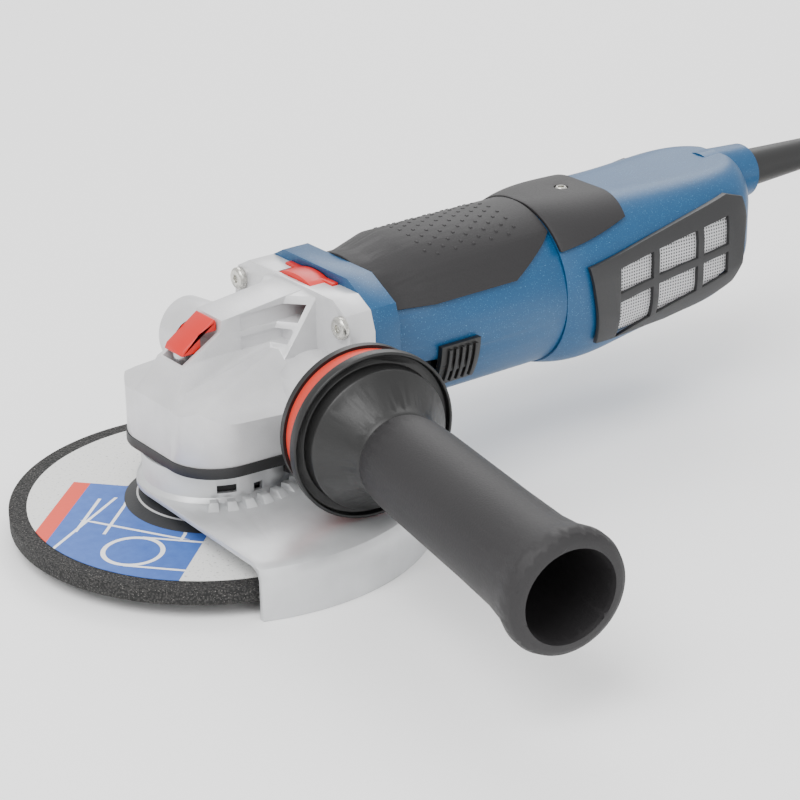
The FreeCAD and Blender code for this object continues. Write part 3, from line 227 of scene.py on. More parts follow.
class Graph:
    """One material's nodes."""

    def __init__(self, name: str) -> None:
        """Start a material with an empty Principled shader.

        Args:
            name: The material's name.
        """
        self.material = bpy.data.materials.new(name)
        self.material.use_nodes = True
        self.nodes = self.material.node_tree.nodes
        self.links = self.material.node_tree.links
        self.shader = self.nodes["Principled BSDF"]
        self._place: Term | None = None

    def add(self, kind: str, settings: dict, values: dict | list, out: int | str = 0) -> Term:
        """Add a node.

        Args:
            kind: The node's type.
            settings: Attributes to set first.
            values: Numbers, colours or terms for its inputs, by name or in order.
            out: Which output to return.

        Returns:
            The chosen output.
        """
        node = self.nodes.new(kind)
        for name, value in settings.items():
            setattr(node, name, value)
        pairs = values.items() if isinstance(values, dict) else enumerate(values)
        for key, value in pairs:
            self.feed(node.inputs[key], value)
        return Term(self, node.outputs[out])

    def feed(self, socket: bpy.types.NodeSocket, value: object) -> None:
        """Set a socket to a number or colour, or link a term to it.

        Args:
            socket: The socket.
            value: A number, a colour or a term.
        """
        if isinstance(value, Term):
            self.links.new(value.socket, socket)
        elif isinstance(value, tuple) and len(value) == 3 and socket.type == "RGBA":
            socket.default_value = (*value, 1.0)
        else:
            socket.default_value = value

    def set(self, **values: object) -> None:
        """Set sockets of the shader; an underscore stands for a space.

        Args:
            values: What each socket gets.
        """
        for name, value in values.items():
            self.feed(self.shader.inputs[name.replace("_", " ")], value)

    def place(self) -> Term:
        """The point on the piece, in metres.

        Returns:
            The point.
        """
        if self._place is None:
            self._place = self.add("ShaderNodeTexCoord", {}, {}, "Object")
        return self._place

    def axes(self) -> tuple[Term, Term, Term]:
        """The point's three numbers, in metres.

        Returns:
            X, Y and Z.
        """
        first = self.add("ShaderNodeSeparateXYZ", {}, [self.place()])
        outputs = first.socket.node.outputs
        return tuple(Term(self, outputs[name]) for name in "XYZ")

    def noise(self, scale: float, detail: float = 3.0, where: Term | None = None) -> Term:
        """Cloudy noise from 0 to 1.

        Args:
            scale: Lumps per metre.
            detail: Octaves.
            where: The point to read it at.

        Returns:
            The noise.
        """
        where = where or self.place()
        values = {"Vector": where, "Scale": scale, "Detail": detail, "Roughness": FINE_SHARE}
        return self.add("ShaderNodeTexNoise", {}, values)

    def cells(self, scale: float, where: Term | None = None) -> Term:
        """Distance to the nearest of scattered points, in cells.

        Args:
            scale: Points per metre.
            where: The point to read it at.

        Returns:
            The distance.
        """
        return self.add("ShaderNodeTexVoronoi", {}, {"Vector": where or self.place(), "Scale": scale})

    def stretched(self, factors: tuple[float, float, float]) -> Term:
        """The point with each axis multiplied.

        Args:
            factors: What each axis is multiplied by.

        Returns:
            The new point.
        """
        settings = {"vector_type": "POINT"}
        return self.add("ShaderNodeMapping", settings, {"Vector": self.place(), "Scale": factors})

    def mix(self, share: Term | float, first: object, second: object) -> Term:
        """Blend two colours.

        Args:
            share: How much of the second colour shows.
            first: The colour at nought.
            second: The colour at one.

        Returns:
            The blend.
        """
        node = self.nodes.new("ShaderNodeMix")
        node.data_type = "RGBA"
        self.feed(node.inputs[0], share)
        self.feed(node.inputs[6], first)
        self.feed(node.inputs[7], second)
        return Term(self, node.outputs[2])

    def bump(self, height: Term, depth: float, strength: float = 1.0) -> None:
        """Raise the surface by a height from 0 to 1.

        Args:
            height: The height.
            depth: What a height of one means, in metres.
            strength: How much of it shows.
        """
        values = {"Height": height, "Distance": depth, "Strength": strength}
        self.set(Normal=self.add("ShaderNodeBump", {}, values))


@dataclass(frozen=True)
class Finish:
    """A finish that gives a material."""

    name: str
    colour: Colour
    roughness: float = 0.45

    def graph(self) -> Graph:
        """Start the material's graph with this colour and roughness.

        Returns:
            The graph.
        """
        graph = Graph(self.name)
        graph.set(Base_Color=self.colour, Roughness=self.roughness)
        return graph

    def build(self) -> bpy.types.Material:
        """Make the material.

        Returns:
            The material.
        """
        return self.graph().material


@dataclass(frozen=True)
class CastMetal(Finish):
    """A satin painted casting with a fine grain and slightly worn tone."""

    metallic: float = 0.35
    grain: float = 1500.0
    depth: float = 0.00012

    def build(self) -> bpy.types.Material:
        """Make the material.

        Returns:
            The material.
        """
        graph = self.graph()
        cloud = graph.noise(60.0, 4.0)
        grain = graph.noise(self.grain, 2.0)
        dark = tuple(0.86 * part for part in self.colour)
        graph.set(Base_Color=graph.mix(cloud.ramp(0.35, 0.7), self.colour, dark), Metallic=self.metallic)
        graph.set(Roughness=self.roughness - 0.06 + 0.12 * grain)
        graph.bump(grain, self.depth, 0.5)
        return graph.material


@dataclass(frozen=True)
class Machined(Finish):
    """Turned or ground steel, its lines running round an axis or along it."""

    lines: tuple[float, float, float] = (300.0, 300.0, 4000.0)
    metallic: float = 0.95

    def build(self) -> bpy.types.Material:
        """Make the material.

        Returns:
            The material.
        """
        graph = self.graph()
        lines = graph.noise(1.0, 3.0, graph.stretched(self.lines))
        dark = tuple(0.72 * part for part in self.colour)
        graph.set(Metallic=self.metallic, Base_Color=graph.mix(lines.ramp(0.3, 0.7), dark, self.colour))
        graph.set(Roughness=self.roughness - 0.08 + 0.16 * lines)
        graph.bump(lines, 0.00003, 0.4)
        return graph.material


@dataclass(frozen=True)
class Moulded(Finish):
    """Moulded plastic with a fine texture and, where stated, pale flecks in it."""

    fleck: Colour = (0.0, 0.0, 0.0)
    fleck_share: float = 0.0
    grain: float = 1400.0
    depth: float = 0.00008
    coat: float = 0.0

    def build(self) -> bpy.types.Material:
        """Make the material.

        Returns:
            The material.
        """
        graph = self.graph()
        grain = graph.noise(self.grain, 2.0)
        cloud = graph.noise(35.0, 3.0)
        tone = graph.mix(cloud.ramp(0.3, 0.7), tuple(0.9 * part for part in self.colour), self.colour)
        if self.fleck_share:
            specks = graph.noise(2600.0, 1.0)
            limit = 0.72 - 0.22 * self.fleck_share
            tone = graph.mix(specks.ramp(limit, limit + 0.1), tone, self.fleck)
        graph.set(Base_Color=tone, Roughness=self.roughness - 0.05 + 0.1 * grain, Coat_Weight=self.coat)
        graph.bump(grain, self.depth, 0.45)
        return graph.material


@dataclass(frozen=True)
class Abrasive(Finish):
    """Resin-bonded grit: black grains with a few that glint."""

    def build(self) -> bpy.types.Material:
        """Make the material.

        Returns:
            The material.
        """
        graph = self.graph()
        grains = graph.cells(1100.0)
        glint = graph.noise(2200.0, 1.0).ramp(0.66, 0.74)
        tone = graph.mix(grains.ramp(0.1, 0.6), (0.05, 0.048, 0.046), (0.008, 0.008, 0.008))
        graph.set(Base_Color=graph.mix(glint, tone, (0.16, 0.15, 0.14)), Roughness=0.85 - 0.4 * glint)
        graph.bump(grains + graph.noise(500.0, 3.0) * 0.7, 0.0006, 0.8)
        return graph.material


@dataclass(frozen=True)
class FilterGauze(Finish):
    """Fine woven gauze: pale wires over dark holes."""

    pitch: float = 0.0013
    axes_used: tuple[int, int] = (0, 2)

    def build(self) -> bpy.types.Material:
        """Make the material.

        Returns:
            The material.
        """
        graph = self.graph()
        axes = graph.axes()
        first = axes[self.axes_used[0]].repeat(self.pitch) / (self.pitch / 2)
        second = axes[self.axes_used[1]].repeat(self.pitch) / (self.pitch / 2)
        hole = (1 - first).ramp(0.42, 0.62) * (1 - second).ramp(0.42, 0.62)
        graph.set(Base_Color=graph.mix(hole, self.colour, (0.02, 0.02, 0.02)), Metallic=0.2)
        graph.bump(1 - hole, 0.0003, 0.7)
        return graph.material


BLUE = (0.0, 0.062, 0.165)
FINISHES = {
    "steel": Machined("machined_steel", (0.62, 0.62, 0.63), 0.3),
    "dark_steel": Machined("blackened_steel", (0.16, 0.16, 0.165), 0.42),
    "bearing_steel": Machined("ground_steel", (0.7, 0.7, 0.72), 0.18),
    "guard_paint": CastMetal("guard_paint", (0.62, 0.63, 0.64), 0.36, 0.45, 900.0, 0.00008),
    "head_casting": CastMetal("satin_casting", (0.66, 0.66, 0.67), 0.38, 0.3),
    "base_casting": CastMetal("dark_casting", (0.016, 0.016, 0.017), 0.5, 0.1),
    "abrasive": Abrasive("black_grit", (0.02, 0.02, 0.02)),
    "red_plastic": Moulded("red_moulding", (0.62, 0.012, 0.006), 0.4),
    "blue_plastic": Moulded("blue_moulding", BLUE, 0.4, (0.06, 0.22, 0.40), 0.3),
    "black_plastic": Moulded("black_moulding", (0.006, 0.006, 0.006), 0.45),
    "grip_rubber": Moulded("charcoal_grip", (0.011, 0.010, 0.011), 0.62, depth=0.00015),
    "frame_plastic": Moulded("grey_frame", (0.018, 0.018, 0.019), 0.5),
    "mesh": FilterGauze("filter_gauze", (0.5, 0.5, 0.51), 0.45),
    "zinc": Machined("zinc_plate", (0.68, 0.67, 0.62), 0.28, (900.0, 900.0, 900.0)),
    "copper": Machined("copper_wire", (0.72, 0.28, 0.12), 0.3, (3000.0, 300.0, 300.0)),
    "brass": Machined("brass", (0.78, 0.58, 0.25), 0.25),
    "bronze": Machined("sintered_bronze", (0.5, 0.32, 0.16), 0.45),
    "laminations": Machined("stacked_sheets", (0.3, 0.3, 0.31), 0.4, (3000.0, 60.0, 60.0)),
    "carbon": Moulded("carbon_block", (0.02, 0.02, 0.021), 0.6),
    "cord_rubber": Moulded("cord_rubber", (0.012, 0.012, 0.012), 0.48, depth=0.0001),
    "red_rubber": Moulded("red_rubber", (0.62, 0.04, 0.02), 0.55),
}


class Workshop:
    """Holds the materials and finishes pieces."""

    def __init__(self) -> None:
        """Make every finish once."""
        self.materials = {slot: finish.build() for slot, finish in FINISHES.items()}

    def dress(self, piece: bpy.types.Object, slot: str, material: bpy.types.Material | None = None) -> None:
        """Give a piece one finish all over.

        Args:
            piece: The piece.
            slot: The finish.
            material: Used in place of the slot's own material.
        """
        piece.data.materials.clear()
        piece.data.materials.append(material or self.materials[slot])

    def dress_frame(self) -> None:
        """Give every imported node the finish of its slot."""
        for part in frame["record"]["subparts"]:
            node = frame["nodes"][part["node"]]
            material = self.materials[part["material_slot"]]
            for place in node.material_slots:
                place.material = material
            log.info("packed node %s in %s", part["node"], part["material_slot"])


@dataclass
class Studio:
    """Floor, light and camera."""

    floor: float = -3.5
    heading: float = -36.54
    elevation: float = 23.36
    roll: float = -0.92
    camera_at: tuple[float, float, float] = (-414.7, -672.1, 383.2)
    lens: float = 108.0

    def build(self) -> None:
        """Make the floor, three soft lights, the world's light and the camera."""
        self.build_floor()
        self.build_lights()
        self.build_camera()

    def build_floor(self) -> None:
        """Make a large pale floor with a gentle sheen."""
        bpy.ops.mesh.primitive_plane_add(size=12.0, location=(0, 0, self.floor * MM - 0.0001))
        floor = bpy.context.object
        floor.name = "floor"
        graph = Graph("pale_floor")
        graph.set(Base_Color=(1.0, 1.0, 1.0), Roughness=0.8)
        floor.data.materials.append(graph.material)

    def build_lights(self) -> None:
        """Make a key, a fill and a rim light, and a pale world."""
        lights = (
            ("key", (-0.75, -0.35, 1.35), 24.0, 1.1),
            ("fill", (-0.1, -1.5, 0.7), 7.0, 1.2),
            ("rim", (0.9, 0.9, 1.1), 14.0, 1.0),
        )
        target = Vector((0.08, -0.05, 0.04))
        for name, spot, power, size in lights:
            data = bpy.data.lights.new(name, "AREA")
            data.energy = power
            data.size = size
            light = bpy.data.objects.new(name, data)
            light.location = spot
            light.rotation_euler = (target - Vector(spot)).to_track_quat("-Z", "Y").to_euler()
            bpy.context.scene.collection.objects.link(light)
        world = bpy.data.worlds.new("studio")
        bpy.context.scene.world = world
        world.use_nodes = True
        background = world.node_tree.nodes["Background"]
        background.inputs["Color"].default_value = (1.0, 1.0, 1.0, 1.0)
        background.inputs["Strength"].default_value = 1.1

    def build_camera(self) -> None:
        """Stand the camera at its place, turned by heading, elevation and roll."""
        azimuth, rise, roll = (math.radians(a) for a in (self.heading, self.elevation, self.roll))
        level = math.cos(rise)
        back = Vector((math.sin(azimuth) * level, -math.cos(azimuth) * level, math.sin(rise)))
        right = Vector((0, 0, 1)).cross(back).normalized()
        up = back.cross(right)
        across = math.cos(roll) * right + math.sin(roll) * up
        above = math.cos(roll) * up - math.sin(roll) * right
        turn = Matrix((across, above, back)).transposed()
        data = bpy.data.cameras.new("camera")
        data.lens = self.lens
        data.sensor_width = 36.0
        data.clip_start, data.clip_end = 0.01, 20.0
        camera = bpy.data.objects.new("camera", data)
        camera.location = Vector(self.camera_at) * MM
        camera.rotation_mode = "QUATERNION"
        camera.rotation_quaternion = turn.to_quaternion()
        bpy.context.scene.collection.objects.link(camera)
        bpy.context.scene.camera = camera


class Axis(Enum):
    """The line that a turned piece goes round."""

    SPINDLE = "spindle"
    MOTOR = "motor"


@dataclass(frozen=True)
class Shaft:
    """A line in the machine: a point on it, in millimetres, and its direction."""

    point: tuple[float, float, float]
    way: tuple[float, float, float]

    def turn(self) -> Matrix:
        """The turn that takes +Z to this line.

        Returns:
            The turn.
        """
        return Vector(self.way).to_track_quat("Z", "Y").to_matrix().to_4x4()

    def matrix(self) -> Matrix:
        """The move that takes the Z axis to this line.

        Returns:
            The move.
        """
        return Matrix.Translation(Vector(self.point) * MM) @ self.turn()


SHAFTS = {
    Axis.SPINDLE: Shaft((0.0, 0.0, 0.0), (0.0, 0.0, 1.0)),
    Axis.MOTOR: Shaft((0.0, 0.0, 57.0), (1.0, 0.0, 0.0)),
}


class Bench:
    """Modelling steps shared by every piece."""

    def __init__(self, shop: Workshop) -> None:
        """Keep the workshop that finishes the pieces.

        Args:
            shop: Gives the finishes.
        """
        self.shop = shop

    def pick(self, piece: bpy.types.Object) -> None:
        """Make one piece the only selected and active one.

        Args:
            piece: The piece.
        """
        bpy.ops.object.select_all(action="DESELECT")
        piece.select_set(True)
        bpy.context.view_layer.objects.active = piece

    def edit(self, piece: bpy.types.Object) -> None:
        """Open a piece with all of its mesh selected.

        Args:
            piece: The piece.
        """
        self.pick(piece)
        bpy.ops.object.mode_set(mode="EDIT")
        bpy.ops.mesh.select_all(action="SELECT")

    def close(self) -> None:
        """Finish editing, with the normals turned outward."""
        bpy.ops.mesh.select_all(action="SELECT")
        bpy.ops.mesh.normals_make_consistent(inside=False)
        bpy.ops.object.mode_set(mode="OBJECT")

    def smooth(self, piece: bpy.types.Object, degrees: float = 35.0) -> None:
        """Shade a piece smooth but for sharp edges.

        Args:
            piece: The piece.
            degrees: Edges sharper than this stay sharp.
        """
        self.pick(piece)
        bpy.ops.object.shade_smooth_by_angle(angle=math.radians(degrees))

    def apply(self, piece: bpy.types.Object, kind: str, **settings: object) -> None:
        """Add a modifier and apply it.

        Args:
            piece: The piece to change.
            kind: The modifier's type.
            settings: Its attributes.
        """
        self.pick(piece)
        modifier = piece.modifiers.new("step", kind)
        for name, value in settings.items():
            setattr(modifier, name, value)
        bpy.ops.object.modifier_apply(modifier=modifier.name)

    def soften(self, piece: bpy.types.Object, width: float) -> None:
        """Round a piece's edges by a width in millimetres.

        Args:
            piece: The piece.
            width: How wide the rounding is.
        """
        self.apply(piece, "BEVEL", width=width * MM, segments=2, limit_method="ANGLE",
                   angle_limit=math.radians(SHARP_ANGLE), harden_normals=False)
        self.smooth(piece, 40.0)

    def finish(self, piece: bpy.types.Object, name: str, body: str, slot: str) -> bpy.types.Object:
        """Name a piece, give it its finish and let it ride a body.

        Args:
            piece: The piece.
            name: Its name.
            body: The body that it moves with.
            slot: Its finish.

        Returns:
            The same piece.
        """
        piece.name = name
        piece.data.name = name
        self.pick(piece)
        bpy.ops.object.transform_apply(location=True, rotation=True, scale=True)
        self.shop.dress(piece, slot)
        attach(piece, body)
        log.info("%s: %d faces", name, len(piece.data.polygons))
        return piece

    def copy(self, node: str) -> bpy.types.Object:
        """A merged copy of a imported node, its flat areas made one face each.

        Args:
            node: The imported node's name.

        Returns:
            The copy, at the origin.
        """
        source = frame["nodes"][node]
        piece = source.copy()
        piece.data = source.data.copy()
        piece.parent = None
        bpy.context.scene.collection.objects.link(piece)
        piece.matrix_world = Matrix.Identity(4)
        self.edit(piece)
        bpy.ops.mesh.remove_doubles(threshold=2 * SAME_SPOT)
        bpy.ops.mesh.dissolve_limited(angle_limit=math.radians(0.6))
        self.close()
        return piece

    def turned(self, shaft: Shaft, outline: Outline, steps: int = 96) -> bpy.types.Object:
        """A ring or solid turned round a line.

        Args:
            shaft: The line.
            outline: A closed loop of (radius, distance along the line), in millimetres.
            steps: How many faces go round.

        Returns:
            The piece, in place.
        """
        bpy.ops.mesh.primitive_plane_add(size=0.001)
        piece = bpy.context.object
        self.edit(piece)
        bpy.ops.mesh.merge(type="CENTER")
        start = Vector((outline[0][0], 0.0, outline[0][1])) * MM
        bpy.ops.transform.translate(value=start)
        last = start
        for radius, along in list(outline[1:]) + [outline[0]]:
            spot = Vector((radius, 0.0, along)) * MM
            bpy.ops.mesh.extrude_vertices_move(TRANSFORM_OT_translate={"value": spot - last})
            last = spot
        bpy.ops.mesh.select_all(action="SELECT")
        bpy.ops.mesh.remove_doubles(threshold=SAME_SPOT)
        bpy.ops.mesh.select_all(action="SELECT")
        bpy.ops.mesh.spin(steps=steps, angle=2 * math.pi, center=(0, 0, 0), axis=(0, 0, 1), dupli=False)
        bpy.ops.mesh.select_all(action="SELECT")
        bpy.ops.mesh.remove_doubles(threshold=SAME_SPOT)
        self.close()
        piece.matrix_world = shaft.matrix()
        self.pick(piece)
        bpy.ops.object.transform_apply(location=True, rotation=True, scale=True)
        return piece

    def block(self, size: Triple, taper: float, edge: float) -> bpy.types.Object:
        """A block with its top drawn in and its edges rounded, its foot at the origin.

        Args:
            size: Length, width and height in millimetres.
            taper: How far each side of the top is drawn in.
            edge: Radius of the edges.

        Returns:
            The block, along +Z.
        """
        bpy.ops.mesh.primitive_plane_add(size=1.0)
        piece = bpy.context.object
        self.edit(piece)
        bpy.ops.transform.resize(value=(size[0] * MM, size[1] * MM, 1.0))
        bpy.ops.mesh.extrude_region_move(TRANSFORM_OT_translate={"value": (0, 0, size[2] * MM)})
        shares = (1 - 2 * taper / size[0], 1 - 2 * taper / size[1], 1.0)
        bpy.ops.transform.resize(value=shares, center_override=(0, 0, 0))
        self.close()
        self.soften(piece, edge)
        return piece

    def stand(self, piece: bpy.types.Object, place: Matrix) -> bpy.types.Object:
        """Move a piece and bake the move into its mesh.

        Args:
            piece: The piece.
            place: Where the piece goes.

        Returns:
            The same piece.
        """
        piece.matrix_world = place
        self.pick(piece)
        bpy.ops.object.transform_apply(location=True, rotation=True, scale=True)
        return piece

    def twin(self, piece: bpy.types.Object) -> bpy.types.Object:
        """A copy of a piece with a mesh of its own.

        Args:
            piece: The piece.

        Returns:
            The copy.
        """
        other = piece.copy()
        other.data = piece.data.copy()
        bpy.context.scene.collection.objects.link(other)
        return other

    def joined(self, pieces: Sequence[bpy.types.Object]) -> bpy.types.Object:
        """Several pieces as one object.

        Args:
            pieces: The pieces; the first stays active.

        Returns:
            The joined piece.
        """
        self.pick(pieces[0])
        for piece in pieces:
            piece.select_set(True)
        bpy.ops.object.join()
        return bpy.context.object


@dataclass(frozen=True)
class SoftNode:
    """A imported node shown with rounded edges."""

    node: str
    body: str
    slot: str
    edge: float
    name: str


@dataclass
class Castings:
    """Castings, mouldings and covers whose edges are rounded as they are on the real machine."""

    nodes: tuple[SoftNode, ...] = (
        SoftNode("gear_housing", "machine", "head_casting", 0.9, "gear_head"),
        SoftNode("base_flange", "machine", "base_casting", 0.5, "dark_flange"),
        SoftNode("lock_button", "lock", "red_plastic", 0.5, "spindle_lock_button"),
        SoftNode("guard", "guard", "guard_paint", 0.35, "guard_pan"),
        SoftNode("guard_lever", "guard_lever", "dark_steel", 0.4, "guard_catch"),
        SoftNode("motor_housing", "machine", "blue_plastic", 0.8, "motor_barrel"),
        SoftNode("grip_insert", "machine", "grip_rubber", 0.3, "top_grip"),
        SoftNode("rear_top_cover", "machine", "grip_rubber", 0.35, "top_cover"),
        SoftNode("filter_frame_left", "machine", "frame_plastic", 0.5, "left_filter_frame"),
        SoftNode("filter_frame_right", "machine", "frame_plastic", 0.5, "right_filter_frame"),
        SoftNode("baffle_ring", "machine", "red_plastic", 0.3, "air_baffle"),
        SoftNode("switch_slider", "switch", "black_plastic", 0.3, "slide_switch"),
        SoftNode("housing_screws", "machine", "zinc", 0.2, "case_screws"),
        SoftNode("clamping_nut", "spindle", "steel", 0.3, "two_pin_nut"),
    )

    def build(self, bench: Bench) -> None:
        """Make every softened copy.

        Args:
            bench: The modelling steps.
        """
        for soft in self.nodes:
            piece = bench.copy(soft.node)
            bench.soften(piece, soft.edge)
            bench.finish(piece, soft.name, soft.body, soft.slot)
            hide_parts(soft.node)


@dataclass
class LockSpring:
    """The spring under the lock button, which shortens as the button goes down."""

    centre: tuple[float, float] = (-11.0, 0.0)
    travel: float = 5.0

    def build(self, bench: Bench) -> None:
        """Copy the spring, shade it smooth and give it a mesh of its own.

        Args:
            bench: The modelling steps.
        """
        piece = bench.copy("lock_spring")
        bench.smooth(piece)
        bench.finish(piece, "button_spring", "machine", "steel")
        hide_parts("lock_spring")
        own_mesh(piece)


@dataclass
class DiscLabel:
    """Printed paper on the disc's upper face."""

    inner: float = 22.5
    hub: float = 25.0
    foot: float = 34.0
    outer: float = 68.5
    hub_top: float = 11.5
    face: float = 7.5
    lift: float = 0.06
    paper: float = 0.18
    field_low: float = -0.006
    field_high: float = 0.048
    band_high: float = 0.0545
    dark_hub: float = 0.0335
    # painted highlight: a grey ring on the slope round the raised hub, radii in metres
    hub_slope_highlight: tuple[float, float] = (0.0283, 0.0290)
    tube_centre: tuple[float, float] = (0.050, 0.016)
    tube_wall: tuple[float, float] = (0.0095, 0.0112)
    tube_sides: tuple[float, float] = (0.0392, 0.0608)
    half_line: float = 0.0006

    def material(self) -> bpy.types.Material:
        """Paper with a blue field, a red band, a dark hub ring, a grey painted highlight on the hub's slope
        and pale line drawings.

        Returns:
            The material.
        """
        graph = Graph("printed_label")
        x, y, _ = graph.axes()
        radius = (x * x + y * y) ** 0.5
        across = x * -0.66 + y * 0.75
        along = x * -0.75 - y * 0.66
        grain = graph.noise(900.0, 2.0)
        paper = graph.mix(grain.ramp(0.60, 0.70), (0.72, 0.72, 0.70), (0.42, 0.42, 0.41))
        cloud = graph.noise(260.0, 3.0, graph.stretched((1, 1, 1)))
        blue = graph.mix(cloud, (0.03, 0.09, 0.36), (0.06, 0.16, 0.5))
        field = across.band(self.field_low, self.field_high) * (along > 0.0)
        red = across.band(self.field_high, self.band_high) * (along > 0.0)
        tone = graph.mix(field, paper, blue)
        tone = graph.mix(red, tone, (0.72, 0.06, 0.03))
        tone = graph.mix(field * self.drawing(along, across), tone, (0.85, 0.85, 0.85))
        tone = graph.mix(radius < self.dark_hub, tone, (0.025, 0.026, 0.028))
        # painted highlight: a grey ring on the hub's slope, laid over the dark printed hub ring
        tone = graph.mix(radius.band(*self.hub_slope_highlight), tone, (0.5, 0.5, 0.5))
        graph.set(Base_Color=tone, Roughness=0.62)
        graph.bump(graph.noise(700.0, 2.0), 0.00015, 0.5)
        return graph.material

    def drawing(self, along: Term, across: Term) -> Term:
        """Outlines of a tube's end and of an angle profile.

        Args:
            along: Distance away from the spindle.
            across: Distance over the blue field.

        Returns:
            One on a line, otherwise nought.
        """
        far_off, aside = along - self.tube_centre[0], across - self.tube_centre[1]
        lines = ((far_off * far_off + aside * aside) ** 0.5).band(*self.tube_wall)
        strokes = (
            ((0.038, 0.0018), (0.030, 0.0395)),
            ((0.058, 0.0450), (0.010, 0.0350)),
        )
        for (far, low), (near, high) in strokes:
            slope = (high - low) / (near - far)
            off = abs(across - low - (along - far) * slope) / math.hypot(1.0, slope)
            lines = lines.maths("MAXIMUM", lines, (off < self.half_line) * along.band(near, far))
        for edge in self.tube_sides:
            side = (abs(along - edge) < self.half_line) * across.band(self.field_low, self.tube_centre[1])
            lines = lines.maths("MAXIMUM", lines, side)
        for level in (0.0405, 0.0300, 0.0020):
            bar = (abs(across - level) < self.half_line) * along.band(0.012, self.tube_sides[0])
            lines = lines.maths("MAXIMUM", lines, bar)
        return lines

    def build(self, bench: Bench) -> None:
        """Make the paper and let it turn with the spindle.

        Args:
            bench: The modelling steps.
        """
        top = self.lift + self.paper
        outline = [
            (self.inner, self.hub_top + self.lift),
            (self.hub + 0.2, self.hub_top + self.lift),
            (self.foot + 0.2, self.face + self.lift),
            (self.outer, self.face + self.lift),
            (self.outer, self.face + top),
            (self.foot + 0.2, self.face + top),
            (self.hub + 0.2, self.hub_top + top),
            (self.inner, self.hub_top + top),
        ]
        piece = bench.turned(SHAFTS[Axis.SPINDLE], outline, 160)
        bench.smooth(piece, 60.0)
        bench.finish(piece, "disc_label", "spindle", "abrasive")
        bench.shop.dress(piece, "abrasive", self.material())


@dataclass
class GripTexture:
    """Raised dots on the rubber over the motor."""

    dot: float = 0.75
    dot_height: float = 0.25
    pitch: float = 4.2
    surface: float = 33.2
    first_x: float = 84.0
    last_x: float = 132.0
    half_sweep: float = 44.0
    angle_step: float = 9.0
    sink: float = 0.3

    def build(self, bench: Bench) -> None:
        """Lay the dots over the top of the motor's grip.

        Args:
            bench: The modelling steps.
        """
        model = bench.block((2 * self.dot, 2 * self.dot, self.dot_height + self.sink), 0.25, 0.12)
        dots = []
        rows = int((self.last_x - self.first_x) / self.pitch)
        count = int(2 * self.half_sweep / self.angle_step)
        motor_height = SHAFTS[Axis.MOTOR].point[2]
        for row in range(rows):
            for index in range(count):
                angle = math.radians(-self.half_sweep + self.angle_step * (index + 0.5 * (row % 2)))
                outward = Matrix.Rotation(angle, 4, "X")
                foot = outward @ Vector((0, 0, self.surface - self.sink))
                foot += Vector((self.first_x + row * self.pitch, 0, motor_height))
                dots.append(bench.stand(bench.twin(model), Matrix.Translation(foot * MM) @ outward))
        bpy.data.objects.remove(model)
        piece = bench.joined(dots)
        bench.finish(piece, "grip_dots", "machine", "grip_rubber")


@dataclass
class SideHandle:
    """The side handle's cone and its rubber grip with a flared hollow end."""

    cone_edge: float = 0.5

    def build(self, bench: Bench) -> None:
        """Smooth the grip and round the edges of the cone.

        Args:
            bench: The modelling steps.
        """
        grip = bench.copy("handle_grip")
        bench.smooth(grip, 40.0)
        bench.finish(grip, "handle_rubber", "machine", "grip_rubber")
        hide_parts("handle_grip")
        core = bench.copy("handle_core")
        bench.soften(core, self.cone_edge)
        bench.finish(core, "handle_cone", "machine", "black_plastic")
        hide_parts("handle_core")


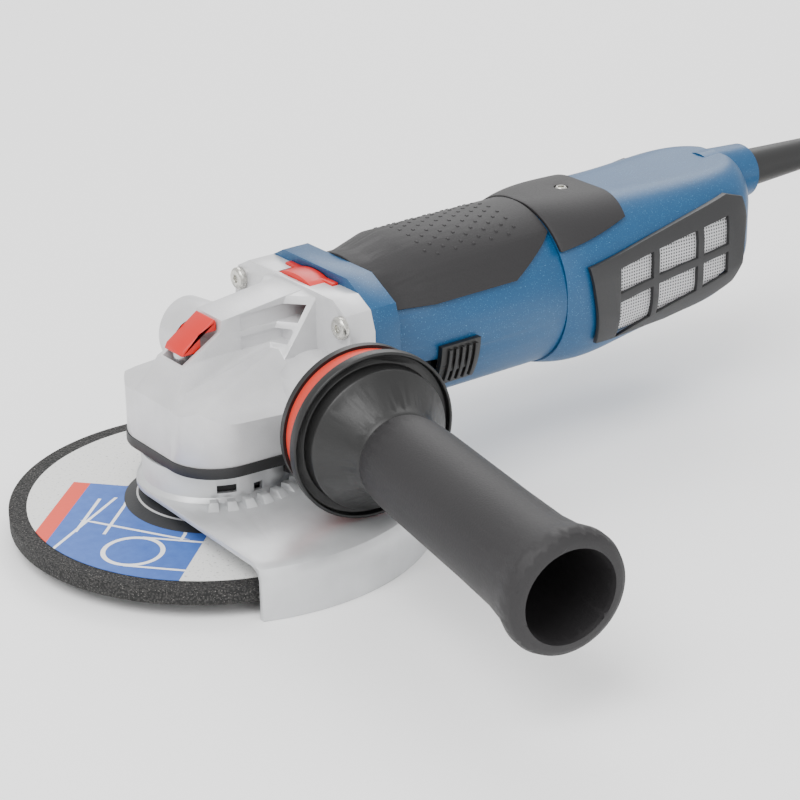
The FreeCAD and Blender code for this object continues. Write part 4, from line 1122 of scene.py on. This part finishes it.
@dataclass
class PowerCord:
    """The free cord with its coil and tail, as one soft piece."""

    diameter: float = 8.5
    coil_centre: tuple[float, float] = (425.0, -135.0)
    coil_middle: float = 47.5
    turns_wide: int = 4
    floor: float = -3.5
    points_per_turn: int = 14
    first_angle: float = 12.0
    last_turn: float = 214.0
    side_step: float = 0.3
    length: float = 3.72
    start: Outline = (
        (305.0, 0.0, 77.2),
        (338.0, 0.0, 77.2),
        (371.0, -3.0, 68.5),
        (398.0, -9.0, 49.0),
        (420.0, -19.0, 27.0),
        (445.0, -35.0, 8.5),
        (468.0, -58.0, 1.0),
        (481.0, -88.0, 0.9),
    )
    tail: Outline = (
        (364.2, -95.0, 5.5),
        (362.0, -78.5, 5.0),
        (362.0, -64.0, 5.0),
    )

    def coil_points(self) -> list[tuple[float, float, float]]:
        """The coil's turns, wound in and out again, each beside or on the last.

        Returns:
            Points in millimetres.
        """
        spots = (
            (3, 0), (2, 0), (1, 0), (0, 0), (0, 1), (0, 2),
            (1, 2), (1, 1), (2, 1), (2, 2), (3, 2), (3, 1),
        )
        inner = self.coil_middle - self.diameter * (self.turns_wide - 1) / 2
        total = int((len(spots) - 1 + self.last_turn / 360.0) * self.points_per_turn)
        points = []
        for index in range(total):
            turn, step = divmod(index, self.points_per_turn)
            share = step / self.points_per_turn
            column, level = spots[turn]
            blend = max(0.0, (share - 1 + self.side_step) / self.side_step)
            if turn + 1 < len(spots):
                after, above = spots[turn + 1]
                column += (after - column) * blend
                level += (above - level) * blend
            radius = inner + column * self.diameter
            angle = math.radians(self.first_angle - 360.0 * (turn + share))
            height = self.floor + self.diameter * (level + 0.5) + 0.15
            points.append((self.coil_centre[0] + radius * math.cos(angle),
                           self.coil_centre[1] + radius * math.sin(angle), height))
        return points

    def build(self, shop: Workshop) -> None:
        """Args:
            shop: Gives the rubber.
        """
        route = list(self.start) + self.coil_points() + list(self.tail)
        data = bpy.data.curves.new("supply_cord", "CURVE")
        data.dimensions = "3D"
        data.resolution_u = 6
        data.bevel_depth = self.diameter / 2 * MM
        data.bevel_resolution = 5
        data.use_fill_caps = True
        spline = data.splines.new("NURBS")
        spline.points.add(len(route) - 1)
        for point, place in zip(spline.points, route):
            point.co = (*(Vector(place) * MM), 1.0)
        spline.order_u = 3
        spline.use_endpoint_u = True
        piece = bpy.data.objects.new("supply_cord", data)
        bpy.context.scene.collection.objects.link(piece)
        shop.dress(piece, "cord_rubber")
        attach(piece, "machine")
        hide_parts("power_cord", "cord_coil", "cord_tail")
        log.info("supply cord of %.2f m", self.length)


def main() -> None:
    """Build everything in order."""
    logging.basicConfig(level=logging.INFO, format="%(message)s")
    Studio().build()
    shop = Workshop()
    shop.dress_frame()
    bench = Bench(shop)
    Castings().build(bench)
    LockSpring().build(bench)
    DiscLabel().build(bench)
    GripTexture().build(bench)
    SideHandle().build(bench)
    PowerCord().build(shop)


if __name__ == "__main__":
    main()
